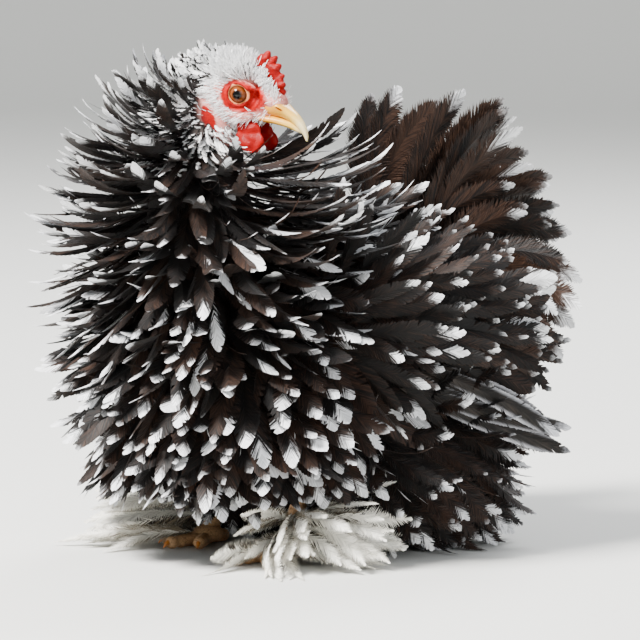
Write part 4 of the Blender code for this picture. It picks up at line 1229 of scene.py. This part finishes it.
corners = [vert.co for vert in skin.data.vertices]
skin_surface = BVHTree.FromPolygons(corners, [polygon.vertices for polygon in skin.data.polygons])
head = head_roots()
plant("crown_plumage", CROWN_FEATHER, head["crown"], small_plume, 36)
plant("nape_plumage", NAPE_FEATHER, head["nape"], small_plume, 37)
plant("collar_plumage", NAPE_FEATHER, collar_roots(), small_plume, 38)
plant("face_bristles", BRISTLE, head["bristle"] + list(comb_bristles()), small_plume, 39)

# Wings
# Folded wings: curled black coverts over secondaries and long, narrow primaries with pale edges, whose tips
# stick out past the body. The coverts cover the wing's oval, and both tiers start along its rear edge.
WING_ROOTS = 430
COVERT = feather(
    54, 10.4, 28, (-8, 26), (0.45, 0.88), 0.08, 0.2, splits=0.18, late=1.8, widest=0.6, roll=0.4,
)
PRIMARIES = 7
PRIMARY = feather(100, 9.8, 90, (-6, 8), (0.75, 0.93), 0.03, 0.2, widest=0.7)
SECONDARIES = 11
SECONDARY = feather(58, 13, 44, (24, 44), (0.75, 0.93), 0.03, 0.2, widest=0.68)


def covert_roots(sign):
    chance = random.Random(24 + sign)
    for direction, spot in even_directions(WING_ROOTS):
        root, normal = surface_at(wing_shape(sign), direction)
        if direction.x * sign < 0.05 or (root.z < 0.096 and root.y > -0.03):
            continue
        high = clamp((root.z - 0.08) / 0.045)
        swirl = 0.5 * noise.noise(root * 50) + chance.gauss(0, 0.2)
        lie = Matrix.Rotation(swirl, 3, normal) @ along_surface(Vector((0, 1, -0.34 + 0.48 * high)), normal)
        lift, long, wide = 14 + chance.gauss(0, 7), chance.uniform(0.85, 1.15), chance.uniform(0.8, 1.05)
        white = chance.choice((0, 0.03, 0.06, 0.1) if root.y < -0.026 else (0, 0, 0, 0, 0.02, 0.06))
        tone = chance.uniform(-0.1, 0.35)
        place = root - normal * 0.001
        long = clear_length(place, lie, normal, lift, COVERT, long)
        if long:
            yield place, lie, normal, lift, (wide, long, long), spot, tone, white


def flight_roots(sign, count, long_tier):
    """Roots along the trailing edge of a wing for its primaries, where long_tier, or its secondaries."""
    chance = random.Random(27 + sign)
    for i in range(count):
        share = i / (count - 1)
        if long_tier:
            root = Vector((0.073 + 0.0015 * (i % 3), -0.01 + 0.01 * share, 0.079 + 0.012 * share))
            lie = Vector((0.13, 0.92, -0.37 + 0.03 * share))
            size = (1, 1 - 0.16 * share, 1)
        else:
            root = Vector((0.06 + 0.0065 * share, 0.02 + 0.006 * share, 0.088 + 0.026 * share))
            lie = Vector((0.22, 0.92, -0.2 + 0.46 * share))
            size = (1, 0.94 + 0.06 * chance.random(), 1)
        lie = mirrored(lie, sign).normalized()
        lift = 2 + chance.gauss(0, 2)
        spot = (0.04 + 0.9 * share, 0.02 + 0.05 * (not long_tier))
        white, tone = white_share(chance, 0.08), chance.uniform(0, 0.5)
        yield mirrored(root, sign), lie, Vector((sign, 0, 0)), lift, size, spot, tone, white


for sign, side in ((1, "left"), (-1, "right")):
    coverts = plant("wing_coverts_" + side, COVERT, covert_roots(sign), dark_plume, 40 + sign)
    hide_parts("wing_" + side)
    plant("primaries_" + side, PRIMARY, flight_roots(sign, PRIMARIES, True), flight_plume, 43 + sign)
    plant("secondaries_" + side, SECONDARY, flight_roots(sign, SECONDARIES, False), dark_plume, 46 + sign)

# Tail
# Two upright half fans of broad, loose black vanes that droop at their tips, with shorter, curlier coverts
# at their base. All grow from one place on the rump.
TAIL_ROOT = mm(0, 58, 116)
TAIL_COUNT = 40
TAIL_DROOP = (0.8, 2.3)
TAIL_FEATHER = feather(90, 18.5, 130, (4, 30), (0.46, 0.72), 0.14, 0.3, widest=0.66, roll=0.25)
TAIL_COVERT = feather(68, 14, 76, (10, 40), (0.4, 0.7), 0.14, 0.2, late=1.4, roll=0.3)


def tail_roots(sign, top, splay, spread, depth, seed):
    """Roots of half a fan from top degrees of rise, past straight back, to a little below level."""
    chance = random.Random(seed)
    for i in range(TAIL_COUNT):
        share = i / (TAIL_COUNT - 1)
        rise = radians(top - (top + 6) * share + chance.uniform(-4, 4))
        aside = radians(splay * (0.3 + 0.9 * share) + chance.uniform(-10, 10))
        back = cos(aside)
        lie = Vector((sin(aside) * sign, back * cos(rise), back * sin(rise))).normalized()
        root = TAIL_ROOT + lie * depth + Vector((spread * sign, 0, 0))
        long = chance.uniform(0.9, 1.06) * (1.09 - 0.24 * clamp(share / 0.55))
        spot = (share * 0.9, 0.25 + 0.25 * sign + 0.01 * chance.random())
        white = chance.choice((0, 0, 0.03, 0.05, 0.09)) * chance.uniform(0.6, 1.3)
        size = (chance.uniform(0.8, 1.1), long, long)
        out = Vector((1, -0.25, 0.1)) * sign
        yield root, lie, out, chance.gauss(0, 6), size, spot, chance.uniform(0, 0.9), white


def drooped(kind, droop, sign):
    """The kind, with its feathers bent sideways by droop, which is down on the given side."""
    return kind | {"bow": sorted(sign * bend for bend in droop)}


for sign, side in ((1, "left"), (-1, "right")):
    roots = tail_roots(sign, top=92, splay=38, spread=0.01, depth=0.006, seed=50)
    fan = plant("tail_" + side, drooped(TAIL_FEATHER, TAIL_DROOP, sign), roots, dark_plume, 51)
    roots = tail_roots(sign, top=66, splay=40, spread=0.012, depth=0, seed=52)
    plant("tail_coverts_" + side, drooped(TAIL_COVERT, TAIL_DROOP, sign), roots, dark_plume, 53)
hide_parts("tail")

# Thigh fluff
# Soft, loose black feathers with small white tips, set out over the thighs. They hang back and down, and
# reach the floor.
FLUFF_ROOTS = 200
FLUFF = feather(50, 12.5, 39, (0, 36), (0.25, 0.6), 0.22, 0.4, splits=0.2, late=1.4, roll=0.3)


def fluff_roots(sign):
    chance = random.Random(60 + sign)
    for direction, spot in even_directions(FLUFF_ROOTS):
        root, normal = surface_at(thigh_shape(sign), direction)
        lie = along_surface(Vector((0.25 * sign, 0.65, -0.8)), normal)
        lie = Matrix.Rotation(chance.gauss(0, 0.2), 3, normal) @ lie
        lift, long = 25 + chance.gauss(0, 7), chance.uniform(0.85, 1.08)
        size = (chance.uniform(0.8, 1.1), long, long)
        white, tone = white_share(chance, 0.07), chance.uniform(-0.1, 0.5)
        yield root - normal * 0.001, lie, normal, lift, size, spot, tone, white


fluff = {sign: list(fluff_roots(sign)) for sign in (1, -1)}
plant("fluff_left", FLUFF, fluff[1], dark_plume, 63)
plant("fluff_right", FLUFF, fluff[-1], dark_plume, 64)

# Stray barbs
# Hair-thin black barbs, curled like the feathers, that have come away from their vanes. One stands out
# beside every third feather of body, ruff and thighs.
STRAND = feather(
    47, 0.6, 4, (0, 60), (0.6, 0.9), 0.2, 0.1, thick=0.12, widest=0.4, bow=(-0.5, 0.5), late=1.6,
)


def stray_roots(feathers, seed):
    """A loose barb beside every third of the feathers given by their roots."""
    chance = random.Random(seed)
    for place, lie, out, lift, size, spot, tone, white in feathers[::3]:
        lie = Matrix.Rotation(chance.gauss(0, 0.3), 3, out) @ lie
        long = size[1] * chance.uniform(0.75, 1)
        lift += chance.gauss(0, 10)
        yield place, lie, out, lift, (1, long, long), spot, tone + 0.3, chance.choice((0, 0, 0.12))


front_feathers = body["breast"] + body["crop"] + ruff
rear_feathers = body["back"] + body["belly"] + fluff[1] + fluff[-1]
plant("stray_barbs_front", STRAND, stray_roots(front_feathers, 66), dark_plume, 67)
plant("stray_barbs_rear", STRAND, stray_roots(rear_feathers, 68), dark_plume, 69)

# Feet
# Scaled, fleshy yellow shanks and toes of tubes melted together, with horn claws, and long, limp white
# feathers with dark streaks. They stand on edge, fan out from the foot's outer side and droop to the floor.
FEET = {"left": mm(30, -44, 0), "right": mm(-30, -30, 0)}
HOCK = mm(4, 20, 44)
# Turn from straight ahead, in degrees outwards, and length of each toe
TOES = [(-34, 0.024), (-2, 0.03), (30, 0.024), (176, 0.013)]
TOE_RADIUS = 0.0032
SHANK_RADII = [0.0042, 0.0036, 0.004, 0.0058]
SOLE_HEIGHT = 0.0045
SOLE_HALF = mm(7.4, 8, 4.2)
FOOT_VOXEL = 0.0005
FOOT_FEATHERS = 48
FOOT_FEATHER = feather(66, 12.5, 110, (-34, -4), (0.16, 0.4), 0.22, 0.4, splits=0.3, widest=0.46, roll=0.35)
FOOT_DROOP = (0, 0.8)


def scale_material():
    """Leg skin: overlapping horny scutes, yellow-orange, with darker, dusty seams."""
    paint = Paint("scaled_leg_skin", {"Roughness": 0.5, "IOR": 1.5})
    seam = paint.stretch(paint.cells(620, "DISTANCE_TO_EDGE"), 0, 0.07)
    horny = paint.mix(paint.noise(180, 3), "#dbb184", "#c09468")
    return paint.finish(paint.mix(seam, "#946a42", horny), seam, 0.6, 0.0003)


def make_foot(sign, side):
    """The scaled shank and toes as one surface, and the claws."""
    foot = FEET[side]
    hock = foot + mirrored(HOCK, sign)
    bm, claws = bmesh.new(), bmesh.new()
    sole = foot + Vector((0, 0, SOLE_HEIGHT))
    leg = [sole, foot.lerp(hock, 0.35), foot.lerp(hock, 0.7), hock]
    tube(bm, leg, SHANK_RADII, 24, 20)
    blob(bm, oval(sole, SOLE_HALF), 28, 18)
    for turn, length in TOES:
        angle = radians(turn * sign)
        out = Vector((sin(angle), -cos(angle), 0)) * length
        up = Vector((0, 0, TOE_RADIUS))
        toe = [foot + out * s + up * 0.92 for s in (0, 0.28, 0.52, 0.8)]
        tube(bm, toe, [TOE_RADIUS * r for r in (1.05, 0.86, 0.92, 0.66)], 20, 16)
        for s in (0.4, 0.62, 0.8):
            blob(bm, oval(foot + out * s + up * 0.85, (TOE_RADIUS * 0.95,) * 3), 16, 10)
        claw = [foot + out * s + up * h for s, h in ((0.78, 0.9), (0.9, 0.85), (0.99, 0.2))]
        tube(claws, claw, [TOE_RADIUS * 0.52, TOE_RADIUS * 0.38, 0.0001], 14, 12)
    shank = remeshed(bm, "shank_" + side, FOOT_VOXEL, 3)
    for vert in shank.data.vertices:
        vert.co.z = max(vert.co.z, 0)
    finish_piece(shank, scaled, "foot_" + side, slot="scaled_skin")
    finish_piece(object_from(claws, "claws_" + side), horn, slot="horn")


def foot_feather_roots(sign, side):
    chance = random.Random(70 + sign)
    for i in range(FOOT_FEATHERS):
        share = (i + 0.5) / FOOT_FEATHERS
        tier = i % 3
        turn = radians(-64 + 116 * share + chance.gauss(0, 10))
        lie = Vector((cos(turn) * sign, sin(turn), 0))
        aside = 0.003 * tier - 0.012 * (1 - share) * (tier == 0)
        root = FEET[side] + Vector((0.0022 * sign, aside, 0.006 + 0.006 * tier))
        long = (0.8 + 0.18 * sin(pi * share)) * chance.uniform(0.8, 1.05)
        out = Vector((sin(turn) * sign, -cos(turn), 0.8)).normalized()
        lift = 6 + 6 * tier + chance.gauss(0, 5)
        size = (chance.uniform(0.6, 1.1), long, long)
        white = chance.choice((0.3, 0.45, 0.6, 1))
        spot = (share * 0.95, 0.05 + 0.02 * tier)
        yield root, lie, out, lift, size, spot, chance.uniform(0.1, 1.1), white


scaled = scale_material()
for sign, side in ((1, "left"), (-1, "right")):
    make_foot(sign, side)
    kind = drooped(FOOT_FEATHER, FOOT_DROOP, sign)
    plant("foot_feathers_" + side, kind, foot_feather_roots(sign, side), white_plume, 72)
